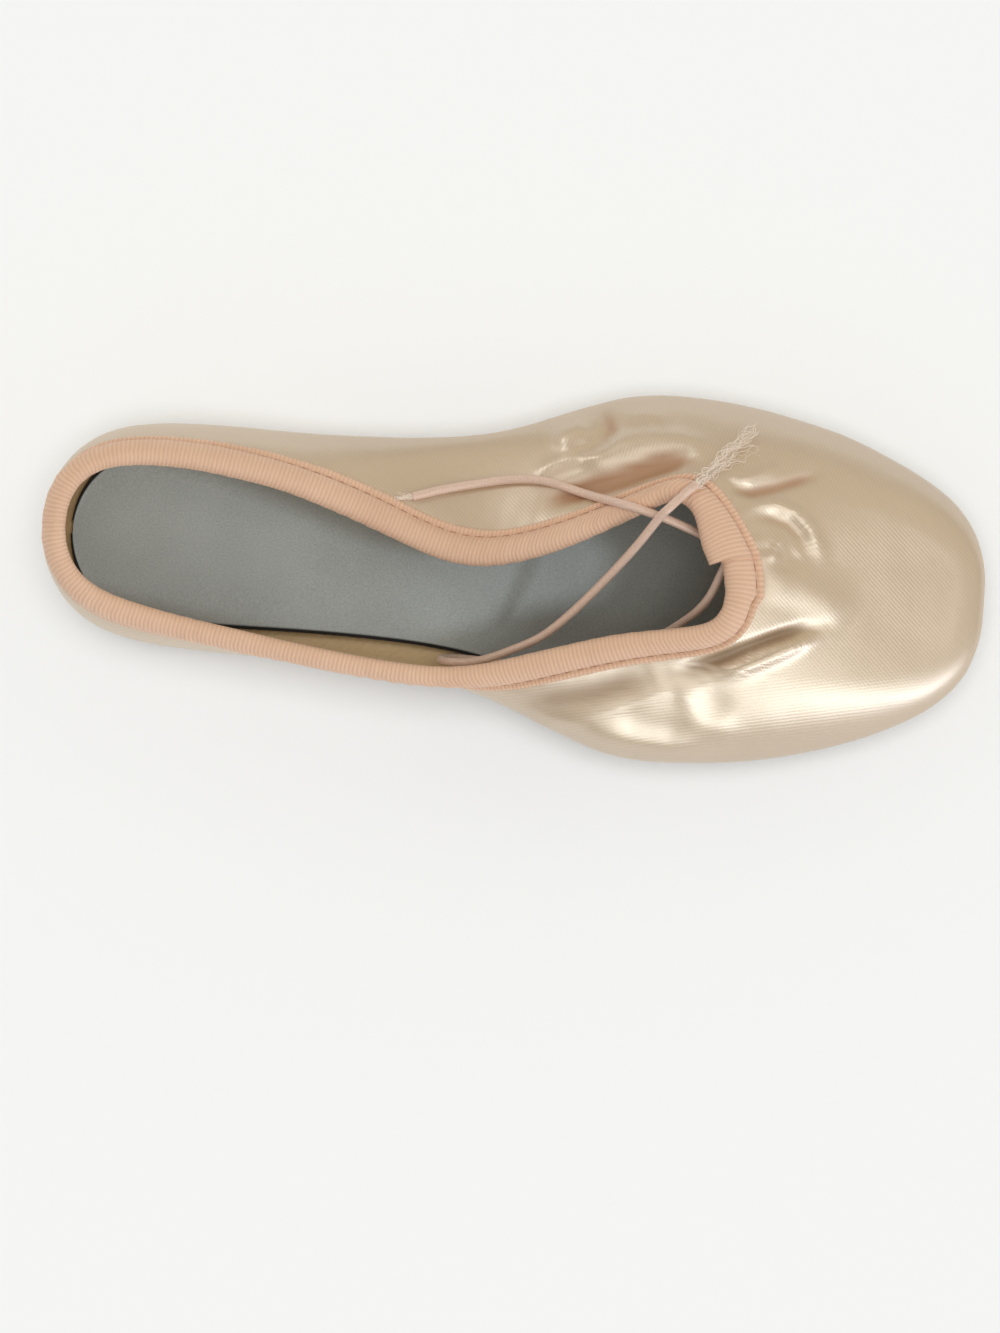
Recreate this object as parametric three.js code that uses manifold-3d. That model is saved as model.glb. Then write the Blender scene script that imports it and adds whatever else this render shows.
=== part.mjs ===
// A pointe shoe in satin, standing empty on its leather sole.
// Millimetres. +X towards the toe, +Z up, the floor at z = 0, and the origin under the middle of the shoe.
// The far side is +Y, where the slack collar leans in. The near side is -Y.
// The shoe is a straight one: it has no left or right, and fits either foot.
import * as THREE from "three";
import { mergeVertices } from "three/addons/utils/BufferGeometryUtils.js";
import Module from "manifold-3d";

const wasm = await Module();
wasm.setup();

// Driving sizes of the last
const LENGTH = 238; // back of the heel to the platform
const BALL_WIDTH = 93; // over the wings of the box
const HEEL_WIDTH = 57;
const THROAT_HEIGHT = 49; // top edge of the vamp above the floor
const HEEL_HEIGHT = 56; // top edge at the back seam above the floor
const VAMP_LENGTH = 65; // platform to the throat's edge
const THROAT_SKEW = 1.6; // the knot side's throat lies this much further back than the other
const HEEL_LEAN = 6; // how far the back seam leans in over the heel
const COLLAR_WIDTH = 38; // across the opening

// Sole and insole
const SOLE_WIDTH = 62;
const SOLE_THICKNESS = 2.4;
const SOLE_HEEL_INSET = 5;
const SOLE_TOE_GAP = 29.5; // the pleated satin in front of the sole
const SOLE_EDGE = 0.7; // the skived lower edge
const LASTING_MARGIN = 5; // satin turned in under the foot, over the sole's edge
const ARCH_RISE = 6;
const TOE_SPRING = 3.6;
const INSOLE_THICKNESS = 1.8;

// Walls, tape and cord
const BOX_WALL = 3.2; // paste and cloth layers round the toes
const QUARTER_WALL = 1.6; // satin and canvas
const TAPE_THICKNESS = 0.7;
const TAPE_OUTSIDE = 9.6; // tape from the edge down the outside
const TAPE_INSIDE = 5.5;
const TAPE_GAP = 0.5; // clearance between the tape and the satin
const TAPE_SLACK = 0.9; // and between the tape and the lining
const TUNNEL = 1.5; // how far the drawstring's tunnel stands out
const LAP_STEP = 0.8; // the tape's end lies over its beginning
const CORD_DIAMETER = 2.2;
const GAP = 0.3; // clearance between pieces

// Mesh steps
const AROUND = 72; // sections round the shoe
const CORD_SIDES = 8;

// One row for each section, from the back of the heel round to the middle of the toe.
// front: 0 takes widths and heights from the heel's sizes, 1 from the ball's and the throat's.
// out: share of LENGTH, and of half the width. rim: share from the heel's rim to the throat,
// then shares of COLLAR_WIDTH on the far and the near side, then shares of the height on each side.
// sole: share of the sole's length, and of half its width. belly: height of the widest line.
// shoulder: where the wall turns inwards, as a share of the rim's height. box: share of the stiff wall.
// under and over: how round the wall is below and above the belly, towards the foot and the side,
// then towards the side and the rim.
const COLUMNS = [
  "front", "outAlong", "outWide", "rimAlong", "rimFar", "rimNear", "highFar", "highNear",
  "soleAlong", "soleWide", "belly", "shoulder", "box", "underFoot", "underSide", "overSide", "overRim",
];
const SECTIONS = [
  /* heel back */ [0, -0.005, 0, 0, 0, 0, 1, 1, 0, 0, 0.36, 0.75, 0, 0.55, 0.75, 0.8, 0.6],
  /* heel bend */ [0, 0.011, 0.52, 0.01, 0.25, 0.25, 0.995, 0.995, 0.008, 0.37, 0.36, 0.75, 0, 0.55, 0.75, 0.8, 0.6],
  /* heel round */ [0, 0.055, 0.9, 0.055, 0.44, 0.47, 0.955, 0.955, 0.045, 0.63, 0.36, 0.76, 0, 0.6, 0.8, 0.8, 0.65],
  /* heel side */ [0, 0.13, 1.02, 0.15, 0.5, 0.57, 0.87, 0.88, 0.125, 0.74, 0.36, 0.78, 0, 0.65, 0.85, 0.85, 0.7],
  /* rear waist */ [0, 0.25, 1.01, 0.31, 0.43, 0.68, 0.77, 0.82, 0.26, 0.68, 0.37, 0.8, 0, 0.7, 0.9, 0.9, 0.75],
  /* waist */ [0, 0.38, 1.04, 0.47, 0.2, 0.78, 0.66, 0.78, 0.4, 0.6, 0.37, 0.82, 0, 0.75, 0.95, 0.9, 0.8],
  /* front waist */ [1, 0.47, 0.7, 0.59, -0.04, 0.8, 0.74, 0.88, 0.51, 0.61, 0.42, 0.84, 0, 0.75, 0.95, 0.9, 0.8],
  /* wing back */ [1, 0.54, 0.845, 0.69, 0.05, 0.67, 0.79, 0.89, 0.6, 0.73, 0.41, 0.86, 0, 0.75, 0.95, 0.95, 0.8],
  /* wing */ [1, 0.61, 1.005, 0.78, 0.23, 0.53, 0.85, 0.91, 0.68, 0.89, 0.4, 0.86, 0.2, 0.7, 0.95, 0.95, 0.8],
  /* ball */ [1, 0.68, 1.015, 0.85, 0.42, 0.44, 0.91, 0.93, 0.76, 1, 0.39, 0.83, 0.5, 0.65, 0.95, 0.95, 0.85],
  /* box side */ [1, 0.755, 0.975, 0.905, 0.57, 0.39, 0.95, 0.95, 0.84, 0.97, 0.38, 0.79, 0.9, 0.55, 0.9, 0.95, 0.82],
  /* box */ [1, 0.83, 0.89, 0.95, 0.52, 0.36, 0.97, 0.97, 0.905, 0.84, 0.37, 0.75, 1, 0.45, 0.85, 0.9, 0.72],
  /* toe side */ [1, 0.895, 0.765, 0.977, 0.37, 0.3, 0.985, 0.985, 0.95, 0.66, 0.36, 0.71, 1, 0.35, 0.7, 0.85, 0.56],
  /* toe round */ [1, 0.949, 0.62, 0.992, 0.25, 0.22, 0.995, 0.995, 0.98, 0.47, 0.35, 0.67, 1, 0.25, 0.55, 0.75, 0.38],
  /* toe corner */ [1, 0.983, 0.44, 1, 0.15, 0.14, 1, 1, 0.995, 0.29, 0.35, 0.63, 1, 0.18, 0.45, 0.6, 0.24],
  /* platform edge */ [1, 0.996, 0.26, 1.003, 0.09, 0.08, 1, 1, 1, 0.16, 0.35, 0.61, 1, 0.15, 0.3, 0.3, 0.12],
  /* platform */ [1, 1, 0.13, 1.004, 0.04, 0.04, 1, 1, 1, 0.08, 0.35, 0.61, 1, 0.15, 0.3, 0.3, 0.12],
  /* toe middle */ [1, 1, 0, 1.004, 0, 0, 1, 1, 1, 0, 0.35, 0.61, 1, 0.15, 0.3, 0.3, 0.12],
].map((row) => Object.fromEntries(COLUMNS.map((name, i) => [name, row[i]])));

const mix = (a, b, share) => a + (b - a) * share;
const clamp01 = (value) => Math.min(1, Math.max(0, value));
const smooth = (value) => clamp01(value) ** 2 * (3 - 2 * clamp01(value));

// A closed, even cubic spline through the loop heel, far side, toe, near side. around runs from 0 to 1.
function loopOf(far, near = far) {
  const values = [...SECTIONS.map(far), ...SECTIONS.slice(1, -1).reverse().map(near)];
  const n = values.length;
  return (around) => {
    const u = (((around % 1) + 1) % 1) * n;
    const i = Math.floor(u);
    const f = u - i;
    const [a, b, c, d] = [-1, 0, 1, 2].map((k) => values[(i + k + n) % n]);
    const weights = [(1 - f) ** 3, 3 * f ** 3 - 6 * f ** 2 + 4, -3 * f ** 3 + 3 * f ** 2 + 3 * f + 1, f ** 3];
    return (a * weights[0] + b * weights[1] + c * weights[2] + d * weights[3]) / 6;
  };
}

// The spline's own ends fall a little inside its rows, so lengths and widths are stretched to the named sizes.
function stretched(curve, low, high) {
  const [first, last] = [curve(0), curve(0.5)];
  return (around) => mix(low, high, (curve(around) - first) / (last - first));
}
function widened(curve, half) {
  const widest = Math.max(...Array.from({ length: 400 }, (_, i) => curve(i / 400)));
  return (around) => (curve(around) / widest) * half;
}

const halfWidth = (row) => row.outWide * mix(HEEL_WIDTH, BALL_WIDTH, row.front) / 2;
const rimHeight = (row) => mix(HEEL_HEIGHT, THROAT_HEIGHT, row.front);
const outX = stretched(loopOf((row) => row.outAlong), 0, LENGTH);
const outY = widened(loopOf(halfWidth, (row) => -halfWidth(row)), BALL_WIDTH / 2);
const rimAlong = stretched(loopOf((row) => row.rimAlong), HEEL_LEAN, LENGTH - VAMP_LENGTH);
const rimY = loopOf((row) => row.rimFar * COLLAR_WIDTH, (row) => -row.rimNear * COLLAR_WIDTH);
const rimZ = loopOf((row) => row.highFar * rimHeight(row), (row) => row.highNear * rimHeight(row));
const rimX = (around) => {
  const throat = smooth((rimAlong(around) / (LENGTH - VAMP_LENGTH) - 0.85) / 0.15);
  return rimAlong(around) - (THROAT_SKEW * throat * rimY(around) * 4) / COLLAR_WIDTH;
};
const soleX = stretched(loopOf((row) => row.soleAlong), SOLE_HEEL_INSET, LENGTH - SOLE_TOE_GAP);
const soleHalf = (row) => (row.soleWide * SOLE_WIDTH) / 2;
const soleY = widened(loopOf(soleHalf, (row) => -soleHalf(row)), SOLE_WIDTH / 2);
const belly = loopOf((row) => row.belly * THROAT_HEIGHT);
const shoulder = loopOf((row) => row.shoulder);
const box = loopOf((row) => row.box);
const underFoot = loopOf((row) => row.underFoot);
const underSide = loopOf((row) => row.underSide);
const overSide = loopOf((row) => row.overSide);
const overRim = loopOf((row) => row.overRim);

// The sole's underside above the floor: flat under the heel and the ball, raised at the arch and the toe.
const HEEL_FLAT_END = 0.26;
const BALL_FLAT_START = 0.6;
const BALL_FLAT_END = 0.78;
function lift(x) {
  const share = x / LENGTH;
  const arch = clamp01((share - HEEL_FLAT_END) / (BALL_FLAT_START - HEEL_FLAT_END));
  const toe = clamp01((share - BALL_FLAT_END) / (1 - BALL_FLAT_END));
  return ARCH_RISE * Math.sin(Math.PI * arch) ** 2 + TOE_SPRING * toe ** 1.6;
}
const underUpper = (x) => lift(x) + SOLE_THICKNESS + GAP;

// The edge of the turned-in satin: the sole's outline, moved in by the lasting margin.
function footEdge(around) {
  const step = 1e-3;
  const dx = soleX(around + step) - soleX(around - step);
  const dy = soleY(around + step) - soleY(around - step);
  const long = Math.hypot(dx, dy);
  return [soleX(around) + (dy / long) * LASTING_MARGIN, soleY(around) - (dx / long) * LASTING_MARGIN];
}

// One section of the outer face: out from the foot's edge, up the side, and in to the rim.
// up runs from 0 at the foot's edge to 1 at the rim.
const BREAKS = [0, 0.1, 0.3, 0.4, 0.68, 1];
const TURN_UP = 1.5; // the lower side stands this much above the turned-in satin
function outer(around, up) {
  const [footX, footY] = footEdge(around);
  const x = outX(around);
  const y = outY(around);
  const rim = new THREE.Vector3(rimX(around), rimY(around), rimZ(around));
  const foot = new THREE.Vector3(footX, footY, underUpper(footX));
  const low = new THREE.Vector3(x, y, underUpper(x) + TURN_UP);
  const wide = new THREE.Vector3(x, y, belly(around) + 0.5 * lift(x));
  const high = new THREE.Vector3(x, y, rim.z * shoulder(around));
  const corners = [
    foot,
    low.clone().lerp(foot, underFoot(around)),
    low.clone().lerp(wide, underSide(around)),
    high.clone().lerp(wide, overSide(around)),
    high.clone().lerp(rim, overRim(around)),
    rim,
  ];
  const turns = [null, low, null, high, null];
  const i = Math.min(4, BREAKS.findLastIndex((edge) => up >= edge));
  const f = (up - BREAKS[i]) / (BREAKS[i + 1] - BREAKS[i]);
  if (!turns[i]) return corners[i].clone().lerp(corners[i + 1], f);
  const first = corners[i].clone().lerp(turns[i], f);
  return first.lerp(turns[i].clone().lerp(corners[i + 1], f), f);
}

function outward(around, up) {
  const step = 2e-3;
  const along = outer(around + step, up).sub(outer(around - step, up));
  const rise = outer(around, Math.min(1, up + step)).sub(outer(around, Math.max(0, up - step)));
  return rise.cross(along).normalize();
}

// A section as a fine line from the rim down, so that a place on it can be given by its distance.
const FINE = 160;
function sectionLine(around) {
  const line = [{ up: 1, point: outer(around, 1), far: 0 }];
  for (let i = 1; i <= FINE; i++) {
    const up = 1 - i / FINE;
    const point = outer(around, up);
    const last = line[i - 1];
    line.push({ up, point, far: last.far + point.distanceTo(last.point) });
  }
  return line;
}
function upAt(line, distance) {
  const i = Math.max(1, line.findIndex((place) => place.far >= distance));
  const [a, b] = [line[i - 1], line[i]];
  return mix(a.up, b.up, (distance - a.far) / (b.far - a.far));
}

const WALL_THIN_TO = 12; // below the rim the wall is as thin as the quarters for this far
const WALL_FULL_AT = 30;
function wall(around, distance) {
  const stiff = smooth((distance - WALL_THIN_TO) / (WALL_FULL_AT - WALL_THIN_TO));
  return mix(QUARTER_WALL, BOX_WALL, clamp01(box(around)) * stiff);
}
function inner(around, up, distance) {
  return outer(around, up).addScaledVector(outward(around, up), -wall(around, distance));
}

// Joins closed rings of points into one closed body. A loop joins its last ring to its first.
function loft(rings, isLoop) {
  const count = rings[0].length;
  const faces = [];
  const spans = isLoop ? rings.length : rings.length - 1;
  for (let i = 0; i < spans; i++) {
    const [a, b] = [rings[i], rings[(i + 1) % rings.length]];
    for (let j = 0; j < count; j++) {
      const k = (j + 1) % count;
      faces.push([a[j], b[j], b[k]], [a[j], b[k], a[k]]);
    }
  }
  if (!isLoop) {
    for (let j = 1; j < count - 1; j++) {
      const last = rings[rings.length - 1];
      faces.push([rings[0][0], rings[0][j], rings[0][j + 1]], [last[0], last[j + 1], last[j]]);
    }
  }
  return meshOf(faces);
}

// Merges the shared corners, leaves out faces that have closed up, and turns the body's faces outwards.
const WELD = 1e-3;
function meshOf(faces) {
  const loose = new THREE.BufferGeometry().setFromPoints(faces.flat());
  const merged = mergeVertices(loose, WELD);
  const all = merged.index.array;
  const kept = [];
  for (let i = 0; i < all.length; i += 3) {
    const [a, b, c] = [all[i], all[i + 1], all[i + 2]];
    if (a !== b && b !== c && a !== c) kept.push(a, b, c);
  }
  const solid = solidOf(merged.setIndex(kept));
  return solid.volume() < 0 ? geometryOf(solidOf(turned(merged))) : geometryOf(solid);
}
function turned(geometry) {
  const index = geometry.index.array;
  for (let i = 0; i < index.length; i += 3) [index[i + 1], index[i + 2]] = [index[i + 2], index[i + 1]];
  return geometry;
}
function solidOf(geometry) {
  const merged = geometry.clone();
  merged.deleteAttribute("normal");
  merged.deleteAttribute("uv");
  const welded = mergeVertices(merged, WELD);
  return new wasm.Manifold(
    new wasm.Mesh({
      numProp: 3,
      vertProperties: new Float32Array(welded.attributes.position.array),
      triVerts: new Uint32Array(welded.index.array),
    }),
  );
}
function geometryOf(solid) {
  const mesh = solid.getMesh();
  const geometry = new THREE.BufferGeometry();
  geometry.setAttribute("position", new THREE.BufferAttribute(new Float32Array(mesh.vertProperties), 3));
  geometry.setIndex(new THREE.BufferAttribute(new Uint32Array(mesh.triVerts), 1));
  geometry.computeVertexNormals();
  return geometry;
}

// The hollow upper: one shell, open at the collar and underneath.
const OUTER_UPS = [0, 0.05, 0.1, 0.15, 0.2, 0.25, 0.3, 0.35, 0.4, 0.45, 0.51, 0.57, 0.63, 0.68, 0.74, 0.8, 0.86, 0.93, 1];
const INNER_UPS = [1, 0.92, 0.88, 0.84, 0.8, 0.76, 0.72, 0.68, 0.58, 0.48, 0.4, 0.35, 0.3, 0.25, 0.2, 0.15, 0.1, 0.05, 0];
function upperGeometry() {
  const rings = [];
  for (let i = 0; i < AROUND; i++) {
    const around = i / AROUND;
    const line = sectionLine(around);
    const distanceAt = (up) => line[Math.round((1 - up) * FINE)].far;
    rings.push([
      ...OUTER_UPS.map((up) => outer(around, up)),
      ...INNER_UPS.map((up) => inner(around, up, distanceAt(up))),
    ]);
  }
  return loft(rings, true);
}

// The ribbed tape that is folded over the rim, as [distance below the rim, distance out from the satin].
// It has a round tunnel for the drawstring, a row of stitching below it and a flat edge.
function tapeSection(lap) {
  const face = TAPE_GAP + TAPE_THICKNESS + lap;
  const inside = -QUARTER_WALL - TAPE_SLACK;
  const fold = -TAPE_SLACK;
  return [
    [TAPE_OUTSIDE, TAPE_GAP],
    [TAPE_OUTSIDE, face],
    [0.8 * TAPE_OUTSIDE, face],
    [0.72 * TAPE_OUTSIDE, face + 0.5 * TUNNEL],
    [0.5 * TAPE_OUTSIDE, face + TUNNEL],
    [0.22 * TAPE_OUTSIDE, face + TUNNEL],
    [0, face + 0.7 * TUNNEL],
    [fold - TAPE_THICKNESS - lap, -0.2 * QUARTER_WALL],
    [fold - TAPE_THICKNESS - lap, -0.9 * QUARTER_WALL],
    [0, inside - TAPE_THICKNESS - lap],
    [0.5 * TAPE_INSIDE, inside - TAPE_THICKNESS - 0.5 * lap],
    [TAPE_INSIDE, inside - TAPE_THICKNESS],
    [TAPE_INSIDE, inside],
    [0.5 * TAPE_INSIDE, inside],
    [fold, inside],
    [fold, TAPE_GAP],
    [0.25 * TAPE_OUTSIDE, TAPE_GAP],
    [0.5 * TAPE_OUTSIDE, TAPE_GAP],
    [0.75 * TAPE_OUTSIDE, TAPE_GAP],
  ];
}
const LAP_EDGE = 30 / AROUND; // just on the far side of the throat's middle
const LAP_FADE = 0.035;
function bindingGeometry() {
  const places = [...Array.from({ length: AROUND }, (_, i) => i / AROUND), LAP_EDGE + 1e-3];
  places.sort((a, b) => a - b);
  const rings = places.map((around) => {
    const before = LAP_EDGE - around;
    const raised = before >= 0 ? LAP_STEP * (1 - smooth(before / LAP_FADE)) : 0;
    return tapeRing(around, tapeSection(raised));
  });
  return loft(rings, true);
}
function tapeRing(around, section) {
  const line = sectionLine(around);
  const edge = outer(around, 1);
  const along = outer(around + 2e-3, 1).sub(outer(around - 2e-3, 1));
  const beyond = along.cross(outward(around, 1)).normalize();
  return section.map(([below, out]) => {
    if (below <= 0) return edge.clone().addScaledVector(beyond, -below).addScaledVector(outward(around, 1), out);
    const up = upAt(line, below);
    return outer(around, up).addScaledVector(outward(around, up), out);
  });
}

// Sections that run straight across, from the near edge to the far one, at the same place along the shoe.
const ACROSS = Array.from({ length: AROUND / 2 + 1 }, (_, i) => i / AROUND);

function soleGeometry() {
  const rings = ACROSS.map((around) => {
    const x = soleX(around);
    const y = Math.max(0, soleY(around));
    const y1 = Math.max(0, y - SOLE_EDGE);
    const [floor, top] = [lift(x), lift(x) + SOLE_THICKNESS];
    const side = (ys, z) => [new THREE.Vector3(x, ys, z)];
    return [
      ...side(-y1, floor), ...side(y1, floor), ...side(y, floor + SOLE_EDGE), ...side(y, top),
      ...side(0, top), ...side(-y, top), ...side(-y, floor + SOLE_EDGE),
    ];
  });
  return loft(rings, false);
}

// The insole lies on the turned-in satin, turns up a little with the wall,
// and fills the hollow over the sole inside the satin's edge.
const INSOLE_UPS = [0, 0.05, 0.1, 0.15];
function insoleGeometry() {
  const bed = (around, up, height) => {
    const distance = sectionLine(around)[Math.round((1 - up) * FINE)].far;
    const out = outward(around, up);
    return outer(around, up).addScaledVector(out, -wall(around, distance) - 1.5 * GAP - height);
  };
  const half = (around) => {
    const under = INSOLE_UPS.map((up) => bed(around, up, 0));
    const over = INSOLE_UPS.map((up) => bed(around, up, INSOLE_THICKNESS));
    const inset = under[0].clone().multiply(new THREE.Vector3(1, 0.94, 1));
    const sunk = inset.clone().setZ(underUpper(inset.x));
    return [sunk, inset, ...under, ...over.reverse(), over[over.length - 1].clone().setY(0)];
  };
  const rings = ACROSS.map((around) => {
    const far = half(around);
    const near = half(-around);
    return [...near.slice(0, -1).reverse(), ...far];
  });
  return loft(rings, false);
}

// The drawstring's two free ends. They come out of the tape's tunnel at the lap.
// Rows: share of LENGTH, share of COLLAR_WIDTH towards the far side, and the height:
// a share of THROAT_HEIGHT for a stretch in the air, or one of the two words for a place it rests on.
const ON_TOP = "on top";
const ON_INSOLE = "on the insole";
const SHORT_END = [
  [0.716, 0.22, 0.78], [0.7, 0.275, 0.83], [0.678, 0.325, 0.885], [0.65, 0.38, 0.93], [0.617, 0.43, ON_TOP],
  [0.59, 0.465, ON_TOP], [0.566, 0.5, ON_TOP], [0.526, 0.56, ON_TOP], [0.493, 0.555, ON_TOP],
  [0.461, 0.515, ON_TOP], [0.418, 0.445, ON_TOP], [0.388, 0.38, ON_TOP],
];
const SHORT_TUFT = [[0.386, 0.376, ON_TOP], [0.377, 0.372, ON_TOP], [0.368, 0.371, ON_TOP]];
const LONG_END = [
  [0.722, 0.13, 0.76], [0.716, 0.03, 0.77], [0.708, -0.1, 0.745], [0.697, -0.2, 0.68], [0.685, -0.27, 0.6],
  [0.66, -0.39, 0.46], [0.625, -0.5, 0.3], [0.58, -0.6, ON_INSOLE], [0.53, -0.66, ON_INSOLE],
  [0.492, -0.66, ON_INSOLE], [0.458, -0.65, ON_INSOLE], [0.438, -0.66, 0.324], [0.431, -0.67, 0.405],
  [0.438, -0.68, 0.486], [0.456, -0.675, 0.523], [0.472, -0.655, 0.53], [0.487, -0.62, 0.54], [0.504, -0.57, 0.56], [0.536, -0.46, 0.6], [0.566, -0.28, 0.67], [0.596, -0.06, 0.78], [0.625, 0.175, 0.92],
  [0.646, 0.375, 1.035], [0.655, 0.44, 1.07], [0.668, 0.53, ON_TOP], [0.681, 0.61, ON_TOP],
];
const LONG_TUFT = [[0.684, 0.628, ON_TOP], [0.702, 0.75, ON_TOP], [0.725, 0.88, ON_TOP], [0.749, 1.01, ON_TOP]];
const CORD_CLEARANCE = 0.6;
const PROBES = 8;
const DOWN = new THREE.Vector3(0, 0, -1);

// The height of the highest face under a round spot, looking down from a given height.
function restHeight(meshes, x, y, from) {
  const spots = [[0, 0], ...Array.from({ length: PROBES }, (_, i) => {
    const turn = (i * 2 * Math.PI) / PROBES;
    return [Math.cos(turn) * CORD_DIAMETER * 0.6, Math.sin(turn) * CORD_DIAMETER * 0.6];
  })];
  const heights = spots.map(([dx, dy]) => {
    const ray = new THREE.Raycaster(new THREE.Vector3(x + dx, y + dy, from), DOWN);
    const hit = ray.intersectObjects(meshes, false)[0];
    return hit ? hit.point.z : 0;
  });
  return Math.max(...heights);
}
function routeOf(rows, meshes, radius) {
  const points = rows.map(([along, across, height]) => {
    const x = along * LENGTH;
    const y = across * COLLAR_WIDTH;
    if (typeof height === "number") return new THREE.Vector3(x, y, height * THROAT_HEIGHT);
    const from = height === ON_TOP ? 2 * HEEL_HEIGHT : 0.5 * THROAT_HEIGHT;
    return new THREE.Vector3(x, y, restHeight(meshes, x, y, from) + radius + CORD_CLEARANCE);
  });
  return new THREE.CatmullRomCurve3(points, false, "centripetal");
}
function cordGeometry(route, steps) {
  const section = new THREE.Shape(new THREE.EllipseCurve(0, 0, CORD_DIAMETER / 2, CORD_DIAMETER / 2).getPoints(CORD_SIDES));
  return new THREE.ExtrudeGeometry(section, { steps, extrudePath: route, bevelEnabled: false });
}

// A frayed end: a tuft that opens out from the cord and thins towards its tip.
const TUFT = [[0, 0.4], [0.2, 0.62], [0.55, 0.75], [0.85, 0.5], [1, 0.15]]; // share of the length, of the diameter
function tuftGeometry(route, spread) {
  const up = new THREE.Vector3(0, 0, 1);
  const rings = TUFT.map(([share, size]) => {
    const centre = route.getPointAt(share);
    const side = route.getTangentAt(share).cross(up).normalize();
    return Array.from({ length: CORD_SIDES }, (_, i) => {
      const turn = (i * 2 * Math.PI) / CORD_SIDES;
      const wide = Math.cos(turn) * size * CORD_DIAMETER * mix(1, spread, share);
      return centre.clone().addScaledVector(side, wide).addScaledVector(up, 0.7 * Math.sin(turn) * size * CORD_DIAMETER);
    });
  });
  return loft(rings, false);
}

const root = new THREE.Group();
const made = [];
function add(name, geometry, colour, roughness) {
  const material = new THREE.MeshStandardMaterial({ color: colour, roughness, metalness: 0 });
  const mesh = new THREE.Mesh(geometry, material);
  mesh.name = name;
  root.add(mesh);
  made.push(mesh);
}

add("upper", upperGeometry(), 0xe2ccaf, 0.35);
add("outsole", soleGeometry(), 0xb98f68, 0.8);
add("insole", insoleGeometry(), 0x828480, 0.95);
add("binding", bindingGeometry(), 0xe3bfa3, 0.7);

const bodies = [...made];
const shortEnd = routeOf(SHORT_END, bodies, CORD_DIAMETER / 2);
add("drawstring_short", cordGeometry(shortEnd, 36), 0xd7b9aa, 0.6);
add("fray_short", tuftGeometry(routeOf(SHORT_TUFT, bodies, CORD_DIAMETER / 2), 1.6), 0xf0e6da, 0.9);
const longEnd = routeOf(LONG_END, bodies, CORD_DIAMETER / 2);
add("drawstring_long", cordGeometry(longEnd, 76), 0xd7b9aa, 0.6);
add("fray_long", tuftGeometry(routeOf(LONG_TUFT, bodies, CORD_DIAMETER / 2), 2.2), 0xf0e6da, 0.9);

for (const mesh of made) mesh.position.x = -LENGTH / 2;

export default root;
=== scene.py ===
"""A satin pointe shoe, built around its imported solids.

Metres, +X towards the toe, +Z up, the floor at z = 0.
"""

import math

import bmesh
import bpy
import numpy as np
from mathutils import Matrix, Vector, noise
from mathutils.bvhtree import BVHTree


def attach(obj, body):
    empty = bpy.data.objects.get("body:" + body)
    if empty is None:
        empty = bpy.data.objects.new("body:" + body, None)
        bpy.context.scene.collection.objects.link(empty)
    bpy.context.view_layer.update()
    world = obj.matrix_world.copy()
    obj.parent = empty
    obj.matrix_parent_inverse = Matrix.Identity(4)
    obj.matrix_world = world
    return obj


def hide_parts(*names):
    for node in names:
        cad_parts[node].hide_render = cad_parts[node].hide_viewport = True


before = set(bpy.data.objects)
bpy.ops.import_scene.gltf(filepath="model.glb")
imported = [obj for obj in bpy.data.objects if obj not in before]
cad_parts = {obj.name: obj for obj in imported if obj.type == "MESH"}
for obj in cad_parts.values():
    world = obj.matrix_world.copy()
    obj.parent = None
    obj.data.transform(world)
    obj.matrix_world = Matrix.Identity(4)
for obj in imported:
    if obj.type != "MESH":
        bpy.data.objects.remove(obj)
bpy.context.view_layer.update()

bl_info = {
    "name": "Pointe Shoe",
    "version": (1, 0, 0),
    "blender": (4, 5, 0),
    "location": "View3D > Sidebar > Pointe Shoe",
    "description": "Builds a satin pointe shoe with its binding, drawstring, insole and sole",
    "category": "Add Mesh",
}

MM = 0.001

# The last's sizes in millimetres, as in the solids.
LENGTH = 238.0
BALL_WIDTH = 93.0
HEEL_WIDTH = 57.0
THROAT_HEIGHT = 49.0
HEEL_HEIGHT = 56.0
VAMP_LENGTH = 65.0
THROAT_SKEW = 1.6
HEEL_LEAN = 6.0
COLLAR_WIDTH = 38.0
SOLE_WIDTH = 62.0
SOLE_HEEL_INSET = 5.0
SOLE_TOE_GAP = 29.5
LASTING_MARGIN = 5.0
ARCH_RISE = 6.0
TOE_SPRING = 3.6
WALL_THIN_TO = 12.0
WALL_FULL_AT = 30.0
LAP_EDGE = 30 / 72

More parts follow.
